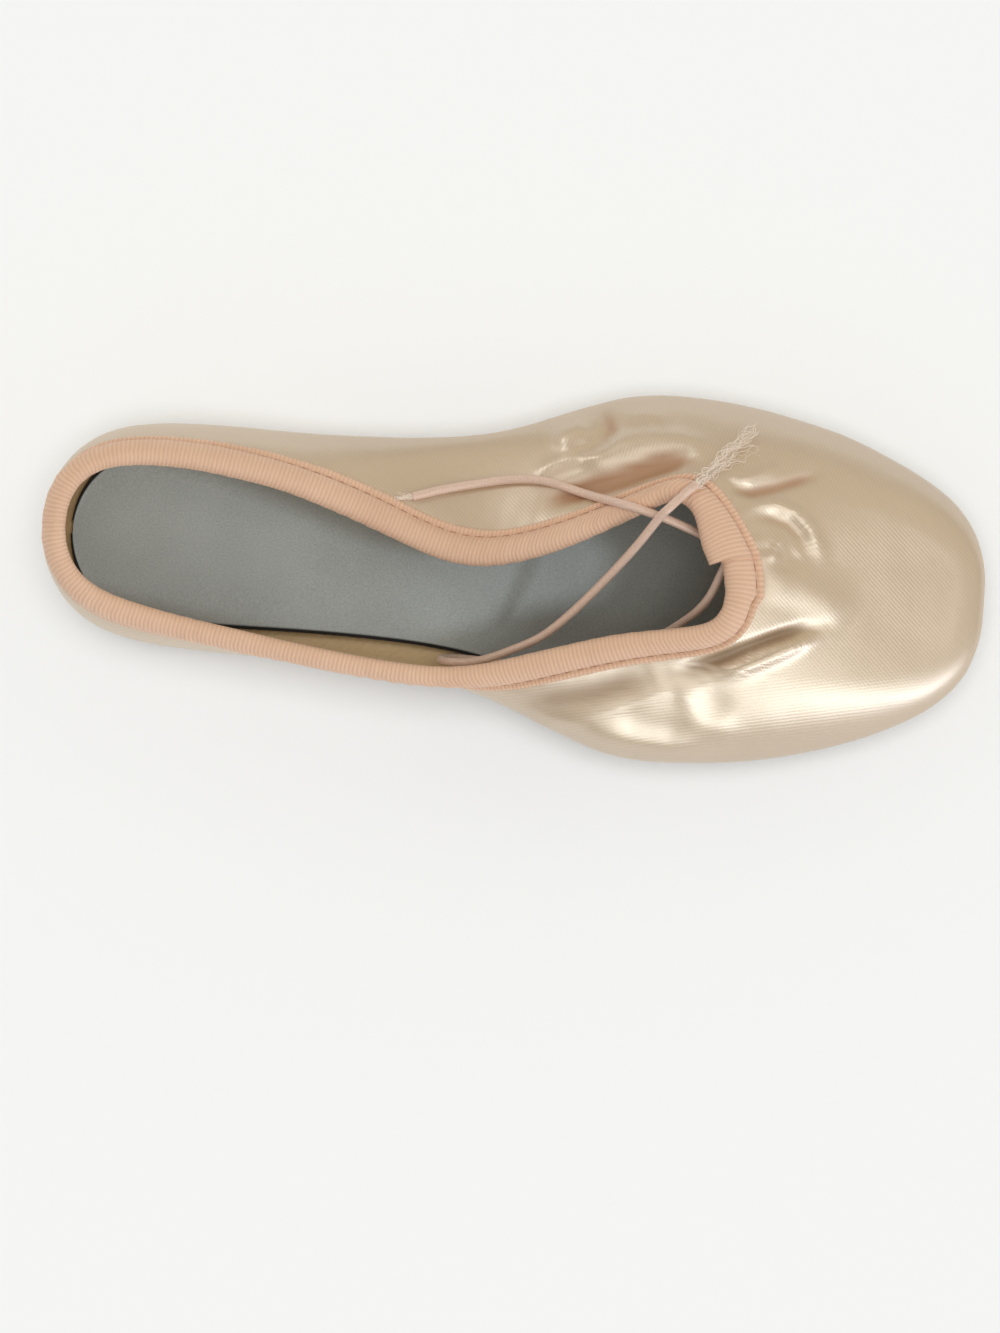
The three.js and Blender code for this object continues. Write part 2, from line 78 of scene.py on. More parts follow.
# One row for each section, from the back of the heel round to the middle of the toe, as in the solids.
COLUMNS = (
    "front", "out_along", "out_wide", "rim_along", "rim_far", "rim_near", "high_far", "high_near",
    "sole_along", "sole_wide", "belly", "shoulder", "box", "under_foot", "under_side", "over_side",
    "over_rim",
)
SECTIONS = (
    (0, -0.005, 0, 0, 0, 0, 1, 1, 0, 0, 0.36, 0.75, 0, 0.55, 0.75, 0.8, 0.6),
    (0, 0.011, 0.52, 0.01, 0.25, 0.25, 0.995, 0.995, 0.008, 0.37, 0.36, 0.75, 0, 0.55, 0.75, 0.8, 0.6),
    (0, 0.055, 0.9, 0.055, 0.44, 0.47, 0.955, 0.955, 0.045, 0.63, 0.36, 0.76, 0, 0.6, 0.8, 0.8, 0.65),
    (0, 0.13, 1.02, 0.15, 0.5, 0.57, 0.87, 0.88, 0.125, 0.74, 0.36, 0.78, 0, 0.65, 0.85, 0.85, 0.7),
    (0, 0.25, 1.01, 0.31, 0.43, 0.68, 0.77, 0.82, 0.26, 0.68, 0.37, 0.8, 0, 0.7, 0.9, 0.9, 0.75),
    (0, 0.38, 1.04, 0.47, 0.2, 0.78, 0.66, 0.78, 0.4, 0.6, 0.37, 0.82, 0, 0.75, 0.95, 0.9, 0.8),
    (1, 0.47, 0.7, 0.59, -0.04, 0.8, 0.74, 0.88, 0.51, 0.61, 0.42, 0.84, 0, 0.75, 0.95, 0.9, 0.8),
    (1, 0.54, 0.845, 0.69, 0.05, 0.67, 0.79, 0.89, 0.6, 0.73, 0.41, 0.86, 0, 0.75, 0.95, 0.95, 0.8),
    (1, 0.61, 1.005, 0.78, 0.23, 0.53, 0.85, 0.91, 0.68, 0.89, 0.4, 0.86, 0.2, 0.7, 0.95, 0.95, 0.8),
    (1, 0.68, 1.015, 0.85, 0.42, 0.44, 0.91, 0.93, 0.76, 1, 0.39, 0.83, 0.5, 0.65, 0.95, 0.95, 0.85),
    (1, 0.755, 0.975, 0.905, 0.57, 0.39, 0.95, 0.95, 0.84, 0.97, 0.38, 0.79, 0.9, 0.55, 0.9, 0.95, 0.82),
    (1, 0.83, 0.89, 0.95, 0.52, 0.36, 0.97, 0.97, 0.905, 0.84, 0.37, 0.75, 1, 0.45, 0.85, 0.9, 0.72),
    (1, 0.895, 0.765, 0.977, 0.37, 0.3, 0.985, 0.985, 0.95, 0.66, 0.36, 0.71, 1, 0.35, 0.7, 0.85, 0.56),
    (1, 0.949, 0.62, 0.992, 0.25, 0.22, 0.995, 0.995, 0.98, 0.47, 0.35, 0.67, 1, 0.25, 0.55, 0.75, 0.38),
    (1, 0.983, 0.44, 1, 0.15, 0.14, 1, 1, 0.995, 0.29, 0.35, 0.63, 1, 0.18, 0.45, 0.6, 0.24),
    (1, 0.996, 0.26, 1.003, 0.09, 0.08, 1, 1, 1, 0.16, 0.35, 0.61, 1, 0.15, 0.3, 0.3, 0.12),
    (1, 1, 0.13, 1.004, 0.04, 0.04, 1, 1, 1, 0.08, 0.35, 0.61, 1, 0.15, 0.3, 0.3, 0.12),
    (1, 1, 0, 1.004, 0, 0, 1, 1, 1, 0, 0.35, 0.61, 1, 0.15, 0.3, 0.3, 0.12),
)
ROWS = [dict(zip(COLUMNS, row)) for row in SECTIONS]


def mix(a, b, share):
    """From a to b by a share."""
    return a + (b - a) * share


def smooth(value):
    """A soft step from 0 to 1."""
    value = np.clip(value, 0, 1)
    return value * value * (3 - 2 * value)


def loop_of(far, near=None):
    """A closed, even cubic spline through the loop heel, far side, toe, near side."""
    values = np.array([far(r) for r in ROWS] + [(near or far)(r) for r in ROWS[1:-1][::-1]], float)
    count = len(values)

    def curve(around):
        u = np.mod(around, 1.0) * count
        i = np.floor(u).astype(int)
        f = u - i
        a, b, c, d = (values[(i + k) % count] for k in (-1, 0, 1, 2))
        return (
            a * (1 - f) ** 3
            + b * (3 * f**3 - 6 * f**2 + 4)
            + c * (-3 * f**3 + 3 * f**2 + 3 * f + 1)
            + d * f**3
        ) / 6

    return curve


def stretched(curve, low, high):
    """The curve, moved and scaled so that it runs from low at the heel to high at the toe."""
    first, last = curve(np.array(0.0)), curve(np.array(0.5))
    return lambda around: mix(low, high, (curve(around) - first) / (last - first))


def widened(curve, half):
    """The curve, scaled so that its widest value is half the width."""
    widest = curve(np.arange(400) / 400).max()
    return lambda around: curve(around) / widest * half


def half_width(row):
    return row["out_wide"] * mix(HEEL_WIDTH, BALL_WIDTH, row["front"]) / 2


def rim_height(row):
    return mix(HEEL_HEIGHT, THROAT_HEIGHT, row["front"])


out_x = stretched(loop_of(lambda r: r["out_along"]), 0, LENGTH)
out_y = widened(loop_of(half_width, lambda r: -half_width(r)), BALL_WIDTH / 2)
rim_along = stretched(loop_of(lambda r: r["rim_along"]), HEEL_LEAN, LENGTH - VAMP_LENGTH)
rim_y = loop_of(lambda r: r["rim_far"] * COLLAR_WIDTH, lambda r: -r["rim_near"] * COLLAR_WIDTH)
rim_z = loop_of(lambda r: r["high_far"] * rim_height(r), lambda r: r["high_near"] * rim_height(r))
sole_x = stretched(loop_of(lambda r: r["sole_along"]), SOLE_HEEL_INSET, LENGTH - SOLE_TOE_GAP)
sole_y = widened(
    loop_of(lambda r: r["sole_wide"] * SOLE_WIDTH / 2, lambda r: -r["sole_wide"] * SOLE_WIDTH / 2),
    SOLE_WIDTH / 2,
)
belly = loop_of(lambda r: r["belly"] * THROAT_HEIGHT)
shoulder = loop_of(lambda r: r["shoulder"])
box_share = loop_of(lambda r: r["box"])
ROUNDINGS = [loop_of(lambda r, k=k: r[k]) for k in ("under_foot", "under_side", "over_side", "over_rim")]


def rim_x(around):
    throat = smooth((rim_along(around) / (LENGTH - VAMP_LENGTH) - 0.85) / 0.15)
    return rim_along(around) - THROAT_SKEW * throat * rim_y(around) * 4 / COLLAR_WIDTH


def lift(x):
    """The sole's underside above the floor, x from the back of the heel."""
    share = x / LENGTH
    arch = np.clip((share - 0.26) / 0.34, 0, 1)
    toe = np.clip((share - 0.78) / 0.22, 0, 1)
    return ARCH_RISE * np.sin(np.pi * arch) ** 2 + TOE_SPRING * toe**1.6


def under_upper(x):
    return lift(x) + sizes().sole_thickness / MM + 0.3


def foot_edge(around):
    """Where the satin's edge ends, turned in under the sole's outline."""
    step = 1e-3
    dx = sole_x(around + step) - sole_x(around - step)
    dy = sole_y(around + step) - sole_y(around - step)
    long = np.hypot(dx, dy)
    return sole_x(around) + dy / long * LASTING_MARGIN, sole_y(around) - dx / long * LASTING_MARGIN


# Shares of up where straight runs and roundings of a section meet.
BREAKS = (0, 0.1, 0.3, 0.4, 0.68, 1)


def outer(around, up):
    """Points of the upper's outer face, x from the heel. up goes from 0 at the foot to 1 at the rim."""
    around, up = np.broadcast_arrays(np.asarray(around, float), np.asarray(up, float))
    foot_x, foot_y = foot_edge(around)
    x, y = out_x(around), out_y(around)
    rim = np.stack([rim_x(around), rim_y(around), rim_z(around)], -1)
    foot = np.stack([foot_x, foot_y, under_upper(foot_x)], -1)
    low = np.stack([x, y, under_upper(x) + 1.5], -1)
    wide = np.stack([x, y, belly(around) + 0.5 * lift(x)], -1)
    high = np.stack([x, y, rim[..., 2] * shoulder(around)], -1)
    a, b, c, d = (curve(around)[..., None] for curve in ROUNDINGS)
    corners = [foot, mix(low, foot, a), mix(low, wide, b), mix(high, wide, c), mix(high, rim, d), rim]
    turns = [None, low, None, high, None]
    out = np.zeros(up.shape + (3,))
    for i in range(5):
        f = ((up - BREAKS[i]) / (BREAKS[i + 1] - BREAKS[i]))[..., None]
        if turns[i] is None:
            piece = mix(corners[i], corners[i + 1], f)
        else:
            piece = mix(mix(corners[i], turns[i], f), mix(turns[i], corners[i + 1], f), f)
        here = (up >= BREAKS[i]) & ((up < BREAKS[i + 1]) | (i == 4))
        out = np.where(here[..., None], piece, out)
    return out


def unit(v):
    return v / np.maximum(np.linalg.norm(v, axis=-1, keepdims=True), 1e-9)


def outward(around, up):
    """The outer face's unit normal."""
    step = 2e-3
    around, up = np.broadcast_arrays(np.asarray(around, float), np.asarray(up, float))
    along = outer(around + step, up) - outer(around - step, up)
    rise = outer(around, np.minimum(1, up + step)) - outer(around, np.maximum(0, up - step))
    return unit(np.cross(rise, along))


def wall(around, distance):
    """The wall's thickness at a distance below the rim, in millimetres."""
    stiff = smooth((distance - WALL_THIN_TO) / (WALL_FULL_AT - WALL_THIN_TO))
    return mix(sizes().quarter_wall / MM, sizes().box_wall / MM, np.clip(box_share(around), 0, 1) * stiff)


def section_distances(around, steps=200):
    """For each section, fine steps of up from the rim down and the distance along the face at each."""
    ups = np.linspace(1, 0, steps + 1)
    points = outer(np.asarray(around)[:, None], ups[None, :])
    gone = np.linalg.norm(np.diff(points, axis=1), axis=-1)
    return ups, np.concatenate([np.zeros((len(points), 1)), np.cumsum(gone, axis=1)], axis=1)


def to_row(points):
    """From millimetres behind the heel's back to metres in the row's frame."""
    moved = np.array(points, float)
    moved[..., 0] -= LENGTH / 2
    return moved * MM


# Small helpers for meshes and materials


def placed(name, data):
    """An object with this data, in the scene."""
    made = bpy.data.objects.new(name, data)
    bpy.context.scene.collection.objects.link(made)
    return made


def grid_mesh(name, rings, loop_around, loop_across, u=None, v=None, groups=None):
    """A mesh of quads over rings of points. u and v are the face corners' coordinates, in metres."""
    count, width = rings.shape[:2]
    spans = count if loop_around else count - 1
    cells = width if loop_across else width - 1
    i, j = np.meshgrid(np.arange(spans), np.arange(cells), indexing="ij")
    i1, j1 = (i + 1) % count, (j + 1) % width
    quads = np.stack([i * width + j, i1 * width + j, i1 * width + j1, i * width + j1], -1).reshape(-1, 4)
    mesh = bpy.data.meshes.new(name)
    mesh.from_pydata(rings.reshape(-1, 3).tolist(), [], quads.tolist())
    mesh.polygons.foreach_set("use_smooth", np.ones(len(quads), bool))
    if u is not None:
        corners = np.stack(
            [
                np.stack([u[i, j], v[i, j]], -1),
                np.stack([u[i + 1, j], v[i + 1, j]], -1),
                np.stack([u[i + 1, j + 1], v[i + 1, j + 1]], -1),
                np.stack([u[i, j + 1], v[i, j + 1]], -1),
            ],
            2,
        ).reshape(-1, 2)
        layer = mesh.uv_layers.new(name="UVMap")
        layer.data.foreach_set("uv", corners.astype(np.float32).ravel())
    if groups is not None:
        mesh.polygons.foreach_set("material_index", groups[j].ravel().astype(np.int32))
    mesh.update()
    return placed(name, mesh)


def carried(piece, nodes=(), materials=()):
    """The piece rides on the shoe, stands for these solids and takes these materials."""
    for material in materials:
        piece.data.materials.append(material)
    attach(piece, "root")
    if nodes:
        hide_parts(*nodes)
    return piece


def linear(hex_colour):
    """An sRGB hex value as linear red, green and blue."""
    parts = [int(hex_colour[k : k + 2], 16) / 255 for k in (1, 3, 5)]
    return tuple(c / 12.92 if c <= 0.04045 else ((c + 0.055) / 1.055) ** 2.4 for c in parts)


def add_node(tree, kind, settings=(), links=()):
    """Adds a node. A setting is an attribute's name or an input's name or number, and a value."""
    made = tree.nodes.new(kind)
    for key, value in settings:
        if isinstance(key, str) and hasattr(made, key):
            setattr(made, key, value)
        else:
            made.inputs[key].default_value = value
    for key, source in links:
        tree.links.new(source, made.inputs[key])
    return made


def new_material(name, settings):
    """A material with its shader's own sockets set, and its tree, its shader and its coordinates."""
    material = bpy.data.materials.new(name)
    material.use_nodes = True
    tree = material.node_tree
    shader = tree.nodes["Principled BSDF"]
    for key, value in settings:
        shader.inputs[key].default_value = value
    coordinates = add_node(tree, "ShaderNodeTexCoord")
    return material, tree, shader, coordinates


def colour(value):
    return (*value, 1.0)


def two_tone(low, high):
    """Settings of a Mix node that goes from one colour to another by its factor."""
    return [("data_type", "RGBA"), (6, colour(low)), (7, colour(high))]


def wave_scale(pitch):
    """The Wave texture's scale for bands this many metres apart."""
    return 2 * math.pi / 20 / pitch


# Materials

# Distances between threads, strands and grains, as drawn.
FLOAT_PITCH = 0.00078
SLUB_PITCH = 0.0011
CANVAS_TWILL_PITCH = 0.0014
BRAID_PITCH = 0.0008
LEATHER_GRAIN = 0.0011


def satin():
    """Duchesse satin, woven. Long warp floats give a broad, soft, directional gloss over a dull weft."""
    c = colours()
    material, tree, shader, at = new_material(
        "Duchesse_satin_woven",
        [
            ("Metallic", 0.1),
            ("IOR", 2.4),
            ("Specular IOR Level", 0.9),
            ("Anisotropic", 0.35),
            ("Sheen Weight", 0.12),
            ("Sheen Roughness", 0.4),
            ("Sheen Tint", colour(c.satin_gloss)),
        ],
    )
    here = at.outputs["Object"]
    # Dye and pressing leave soft, hand-sized drifts of colour.
    drift = add_node(tree, "ShaderNodeTexNoise", [("Scale", 26.0), ("Detail", 3.0)], [("Vector", here)])
    base = add_node(
        tree, "ShaderNodeMix", two_tone(c.satin_shade, c.satin), [(0, drift.outputs["Fac"])]
    ).outputs[2]
    split = add_node(tree, "ShaderNodeSeparateXYZ", (), [("Vector", here)])
    # Painted shade and painted bounce light deep in a fold, where the cloth lights itself: the colour is
    # darkened and deepened there, golden on the far side, and browner on the near side.
    fold = add_node(tree, "ShaderNodeAttribute", [("attribute_name", "hollow")])
    deepest = add_node(tree, "ShaderNodeMapRange", [("To Max", 0.9)], [("Value", fold.outputs["Fac"])])
    far_side = add_node(
        tree,
        "ShaderNodeMapRange",
        [("From Min", -0.004), ("From Max", 0.01)],
        [("Value", split.outputs["Y"])],
    )
    painted_fold_shade = add_node(
        tree, "ShaderNodeMix", two_tone(c.satin_painted_shade, c.satin_fold_painted_shade), [(0, far_side.outputs[0])]
    ).outputs[2]
    with_fold_shade = add_node(
        tree,
        "ShaderNodeMix",
        [("data_type", "RGBA")],
        [(0, deepest.outputs[0]), (6, base), (7, painted_fold_shade)],
    )
    # Painted shade: the satin is darkened low down, next to the sole.
    low = add_node(
        tree,
        "ShaderNodeMapRange",
        [("From Min", 0.034), ("From Max", 0.016), ("To Max", 0.35)],
        [("Value", split.outputs["Z"])],
    )
    tone_shift = add_node(
        tree,
        "ShaderNodeMix",
        [("data_type", "RGBA"), (7, colour(c.satin_painted_shade))],
        [(0, low.outputs[0]), (6, with_fold_shade.outputs[2])],
    )
    # Lines of the floats, drawn this coarse so that they show. They lean with the cloth: steep on the far
    # side, nearly flat on the near side.
    uneven = (("Distortion", 1.6), ("Detail", 2.0), ("Detail Scale", 6.0))
    lines = None
    for lean, starts, ends in ((-42, None, None), (72, 0.014, 0.03), (12, -0.012, -0.03)):
        turned = add_node(
            tree, "ShaderNodeMapping", [("Rotation", (0, 0, math.radians(90 - lean)))], [("Vector", here)]
        )
        wave = add_node(
            tree,
            "ShaderNodeTexWave",
            [("bands_direction", "X"), ("Scale", wave_scale(FLOAT_PITCH)), *uneven],
            [("Vector", turned.outputs[0])],
        )
        if lines is None:
            lines = wave.outputs["Fac"]
            continue
        share = add_node(
            tree,
            "ShaderNodeMapRange",
            [("From Min", starts), ("From Max", ends)],
            [("Value", split.outputs["Y"])],
        )
        lines = add_node(
            tree,
            "ShaderNodeMix",
            [("data_type", "FLOAT")],
            [(0, share.outputs[0]), (2, lines), (3, wave.outputs["Fac"])],
        ).outputs[0]
    # Down the sides they run on the cloth's own bias.
    bias = add_node(
        tree,
        "ShaderNodeTexWave",
        [("bands_direction", "DIAGONAL"), ("Scale", math.sqrt(2) * wave_scale(FLOAT_PITCH)), *uneven],
        [("Vector", at.outputs["UV"])],
    )
    down = add_node(
        tree,
        "ShaderNodeMapRange",
        [("From Min", 0.036), ("From Max", 0.027)],
        [("Value", split.outputs["Z"])],
    )
    lines = add_node(
        tree,
        "ShaderNodeMix",
        [("data_type", "FLOAT")],
        [(0, down.outputs[0]), (2, lines), (3, bias.outputs["Fac"])],
    ).outputs[0]
    # Warp slubs: the threads lie 0.2 mm apart, too fine to show, so they are drawn coarser, on the bias.
    turned = add_node(
        tree, "ShaderNodeMapping", [("Rotation", (0, 0, math.radians(-45)))], [("Vector", here)]
    )
    stretched_along = add_node(
        tree, "ShaderNodeMapping", [("Scale", (1.0, 0.12, 1.0))], [("Vector", turned.outputs[0])]
    )
    slubs = add_node(
        tree,
        "ShaderNodeTexNoise",
        [("Scale", 1 / SLUB_PITCH), ("Detail", 2.0)],
        [("Vector", stretched_along.outputs[0])],
    )
    weave = add_node(
        tree, "ShaderNodeMix", [("data_type", "FLOAT"), (0, 0.4)], [(2, lines), (3, slubs.outputs["Fac"])]
    ).outputs[0]
    threads = add_node(
        tree,
        "ShaderNodeMix",
        [("data_type", "RGBA"), ("blend_type", "SOFT_LIGHT"), (0, 0.22)],
        [(6, tone_shift.outputs[2]), (7, weave)],
    )
    tree.links.new(threads.outputs[2], shader.inputs["Base Color"])
    rough = add_node(tree, "ShaderNodeMapRange", [("To Min", 0.33), ("To Max", 0.45)], [("Value", weave)])
    # Cloth that faces itself in a fold has no clean gloss.
    dull = add_node(
        tree,
        "ShaderNodeMath",
        [("operation", "MULTIPLY_ADD"), (1, 0.42)],
        [(0, fold.outputs["Fac"]), (2, rough.outputs[0])],
    )
    tree.links.new(dull.outputs[0], shader.inputs["Roughness"])
    relief = add_node(
        tree, "ShaderNodeBump", [("Strength", 0.45), ("Distance", 0.00006)], [("Height", weave)]
    )
    tree.links.new(relief.outputs[0], shader.inputs["Normal"])
    return material


def canvas():
    """Cotton drill lining, woven and unbleached: matt, with a fine twill."""
    material, tree, shader, at = new_material(
        "Cotton_drill_unbleached", [("Roughness", 0.92), ("Specular IOR Level", 0.25), ("Sheen Weight", 0.1)]
    )
    flecks = add_node(
        tree, "ShaderNodeTexNoise", [("Scale", 900.0), ("Detail", 4.0)], [("Vector", at.outputs["Object"])]
    )
    c = colours()
    cloth = add_node(tree, "ShaderNodeMix", two_tone(c.lining_shade, c.lining), [(0, flecks.outputs["Fac"])])
    tree.links.new(cloth.outputs[2], shader.inputs["Base Color"])
    # Twill lines, drawn coarser than the real ones so that they show.
    twill = add_node(
        tree,
        "ShaderNodeTexWave",
        [("bands_direction", "DIAGONAL"), ("Scale", wave_scale(CANVAS_TWILL_PITCH)), ("Distortion", 1.2)],
        [("Vector", at.outputs["UV"])],
    )
    relief = add_node(
        tree,
        "ShaderNodeBump",
        [("Strength", 0.5), ("Distance", 0.00015)],
        [("Height", twill.outputs["Fac"])],
    )
    tree.links.new(relief.outputs[0], shader.inputs["Normal"])
    return material


def ribbed_tape():
    """Cotton grosgrain, woven with cords in the weft: matt ribs run across the tape, with painted shade in
    the grooves and a faint painted highlight on the crests.
    """
    c = colours()
    material, tree, shader, at = new_material(
        "Cotton_grosgrain_woven",
        [("Roughness", 0.78), ("Specular IOR Level", 0.35), ("Sheen Weight", 0.22), ("Sheen Roughness", 0.5)],
    )
    ribs = add_node(
        tree,
        "ShaderNodeTexWave",
        [
            ("bands_direction", "X"),
            ("Scale", wave_scale(sizes().rib_pitch)),
            ("Distortion", 0.6),
            ("Detail", 1.0),
            ("Detail Scale", 2.0),
        ],
        [("Vector", at.outputs["UV"])],
    )
    drift = add_node(
        tree, "ShaderNodeTexNoise", [("Scale", 70.0), ("Detail", 3.0)], [("Vector", at.outputs["Object"])]
    )
    cloth = add_node(
        tree, "ShaderNodeMix", two_tone(c.tape_shade, c.tape), [(0, drift.outputs["Fac"])]
    ).outputs[2]
    # Painted shade in the grooves between the ribs, and a faint painted highlight on their crests.
    rib_painted_shade = add_node(
        tree, "ShaderNodeMapRange", [("To Min", 0.88), ("To Max", 1.03)], [("Value", ribs.outputs["Fac"])]
    )
    shaded = add_node(
        tree,
        "ShaderNodeMix",
        [("data_type", "RGBA"), ("blend_type", "MULTIPLY"), (0, 1.0)],
        [(6, cloth), (7, rib_painted_shade.outputs[0])],
    )
    tree.links.new(shaded.outputs[2], shader.inputs["Base Color"])
    threads = add_node(
        tree, "ShaderNodeTexNoise", [("Scale", 3200.0), ("Detail", 2.0)], [("Vector", at.outputs["Object"])]
    )
    fine = add_node(
        tree,
        "ShaderNodeBump",
        [("Strength", 0.35), ("Distance", 0.00008)],
        [("Height", threads.outputs["Fac"])],
    )
    relief = add_node(
        tree,
        "ShaderNodeBump",
        [("Strength", 0.7), ("Distance", 0.0002)],
        [("Height", ribs.outputs["Fac"]), ("Normal", fine.outputs[0])],
    )
    tree.links.new(relief.outputs[0], shader.inputs["Normal"])
    return material


def sewing_thread():
    """Polyester sewing thread, twisted: a slight gloss, and a twist too fine to model."""
    material, tree, shader, at = new_material(
        "Polyester_thread_twisted", [("Roughness", 0.5), ("Sheen Weight", 0.15)]
    )
    twist = add_node(tree, "ShaderNodeTexNoise", [("Scale", 2500.0)], [("Vector", at.outputs["Object"])])
    c = colours()
    toned = add_node(tree, "ShaderNodeMix", two_tone(c.thread_shade, c.thread), [(0, twist.outputs["Fac"])])
    tree.links.new(toned.outputs[2], shader.inputs["Base Color"])
    return material


def elastic():
    """Covered elastic cord, braided: a smooth, faintly glossy sleeve with a fine braid."""
    c = colours()
    material, tree, shader, at = new_material(
        "Elastic_cord_braided", [("Roughness", 0.34), ("Specular IOR Level", 0.5), ("Sheen Weight", 0.15)]
    )
    # The braid's crossings lie 0.5 mm apart, drawn a little coarser so that they show.
    braid = add_node(
        tree,
        "ShaderNodeTexVoronoi",
        [("Scale", 1 / BRAID_PITCH), ("Randomness", 0.4)],
        [("Vector", at.outputs["Object"])],
    )
    # Painted shade between the braid's strands.
    toned = add_node(tree, "ShaderNodeMix", two_tone(c.cord, c.cord_painted_shade), [(0, braid.outputs["Distance"])])
    tree.links.new(toned.outputs[2], shader.inputs["Base Color"])
    relief = add_node(
        tree,
        "ShaderNodeBump",
        [("Strength", 0.15), ("Distance", 0.00006)],
        [("Height", braid.outputs["Distance"])],
    )
    tree.links.new(relief.outputs[0], shader.inputs["Normal"])
    return material


def loose_fibre():
    """Nylon filaments, drawn and unravelled: pale and fine, with a soft bloom along their edges."""
    material, tree, shader, at = new_material(
        "Nylon_filament_frayed", [("Roughness", 0.7), ("Sheen Weight", 0.6)]
    )
    strands = add_node(tree, "ShaderNodeTexNoise", [("Scale", 700.0)], [("Vector", at.outputs["Object"])])
    c = colours()
    toned = add_node(tree, "ShaderNodeMix", two_tone(c.fibre_shade, c.fibre), [(0, strands.outputs["Fac"])])
    tree.links.new(toned.outputs[2], shader.inputs["Base Color"])
    return material


def brushed_cloth():
    """Grey brushed insole cloth, sueded: a short nap, worn smooth and paler in places."""
    c = colours()
    material, tree, shader, at = new_material(
        "Cotton_sueded_grey", [("Roughness", 0.95), ("Specular IOR Level", 0.2), ("Sheen Weight", 0.35)]
    )
    tone_shift = add_node(
        tree, "ShaderNodeTexNoise", [("Scale", 45.0), ("Detail", 4.0)], [("Vector", at.outputs["Object"])]
    )
    nap = add_node(
        tree, "ShaderNodeTexNoise", [("Scale", 2200.0), ("Detail", 3.0)], [("Vector", at.outputs["Object"])]
    )
    cloth = add_node(
        tree, "ShaderNodeMix", two_tone(c.insole_shade, c.insole), [(0, tone_shift.outputs["Fac"])]
    ).outputs[2]
    flecked = add_node(
        tree,
        "ShaderNodeMix",
        [("data_type", "RGBA"), ("blend_type", "SOFT_LIGHT"), (0, 0.55)],
        [(6, cloth), (7, nap.outputs["Fac"])],
    )
    # A nearly black band runs along the cut edge: v is the distance in from it.
    split = add_node(tree, "ShaderNodeSeparateXYZ", (), [("Vector", at.outputs["UV"])])
    edge = add_node(
        tree,
        "ShaderNodeMapRange",
        [("From Min", 0.0007), ("From Max", 0.0012), ("To Min", 1.0), ("To Max", 0.0)],
        [("Value", split.outputs["Y"])],
    )
    dark_edge = add_node(
        tree,
        "ShaderNodeMix",
        [("data_type", "RGBA"), (7, colour(linear("#1E1C1B")))],
        [(0, edge.outputs[0]), (6, flecked.outputs[2])],
    )
    tree.links.new(dark_edge.outputs[2], shader.inputs["Base Color"])
    relief = add_node(
        tree, "ShaderNodeBump", [("Strength", 0.5), ("Distance", 0.00012)], [("Height", nap.outputs["Fac"])]
    )
    tree.links.new(relief.outputs[0], shader.inputs["Normal"])
    return material


def sole_leather():
    """Vegetable-tanned split leather, buffed: matt, with a soft grain and darker patches."""
    c = colours()
    material, tree, shader, at = new_material(
        "Leather_vegetable_tanned_buffed", [("Roughness", 0.72), ("IOR", 1.5)]
    )
    grain = add_node(
        tree, "ShaderNodeTexVoronoi", [("Scale", 1 / LEATHER_GRAIN)], [("Vector", at.outputs["Object"])]
    )
    patch = add_node(
        tree, "ShaderNodeTexNoise", [("Scale", 60.0), ("Detail", 6.0)], [("Vector", at.outputs["Object"])]
    )
    toned = add_node(tree, "ShaderNodeMix", two_tone(c.sole_shade, c.sole), [(0, patch.outputs["Fac"])])
    tree.links.new(toned.outputs[2], shader.inputs["Base Color"])
    relief = add_node(
        tree,
        "ShaderNodeBump",
        [("Strength", 0.35), ("Distance", 0.00012)],
        [("Height", grain.outputs["Distance"])],
    )
    tree.links.new(relief.outputs[0], shader.inputs["Normal"])
    return material


# The sizes and colours that a user would change


def size_property(name, description, default):
    return bpy.props.FloatProperty(
        name=name, description=description, default=default, unit="LENGTH", precision=5
    )


def colour_property(name, description, hex_colour):
    return bpy.props.FloatVectorProperty(
        name=name, description=description, default=linear(hex_colour), subtype="COLOR", size=3, min=0, max=1
    )


class PointeShoeSizes(bpy.types.PropertyGroup):
    """Thicknesses, the tape's and the cord's sizes, and how deep the folds are."""

    quarter_wall: size_property("Quarter wall", "Satin and canvas at the sides and the heel", 0.0016)
    box_wall: size_property("Box wall", "Stiffened layers round the toes", 0.0032)
    sole_thickness: size_property("Sole thickness", "Leather under the foot", 0.0024)
    insole_thickness: size_property("Insole thickness", "Cloth and board inside", 0.0018)
    stitch_line: size_property("Stitch line", "Stitching below the collar's edge", 0.00635)
    tape_outside: size_property("Tape outside", "Tape from the collar's edge down the outside", 0.0084)
    rib_pitch: size_property("Rib pitch", "Distance between the tape's ribs", 0.00104)
    lap_step: size_property("Lap step", "How far the tape's end stands above its beginning", 0.0008)
    lap_inward: size_property("Lap inward", "How much further in the tape's end reaches", 0.0032)
    cord_diameter: size_property("Cord diameter", "The drawstring", 0.0022)
    stitch_length: size_property("Stitch length", "One stitch and its gap", 0.0034)
    crease_depth: bpy.props.FloatProperty(
        name="Crease depth",
        description="Share of the main creases' depth",
        default=1.0,
        min=0,
        max=2,
        subtype="FACTOR",
    )


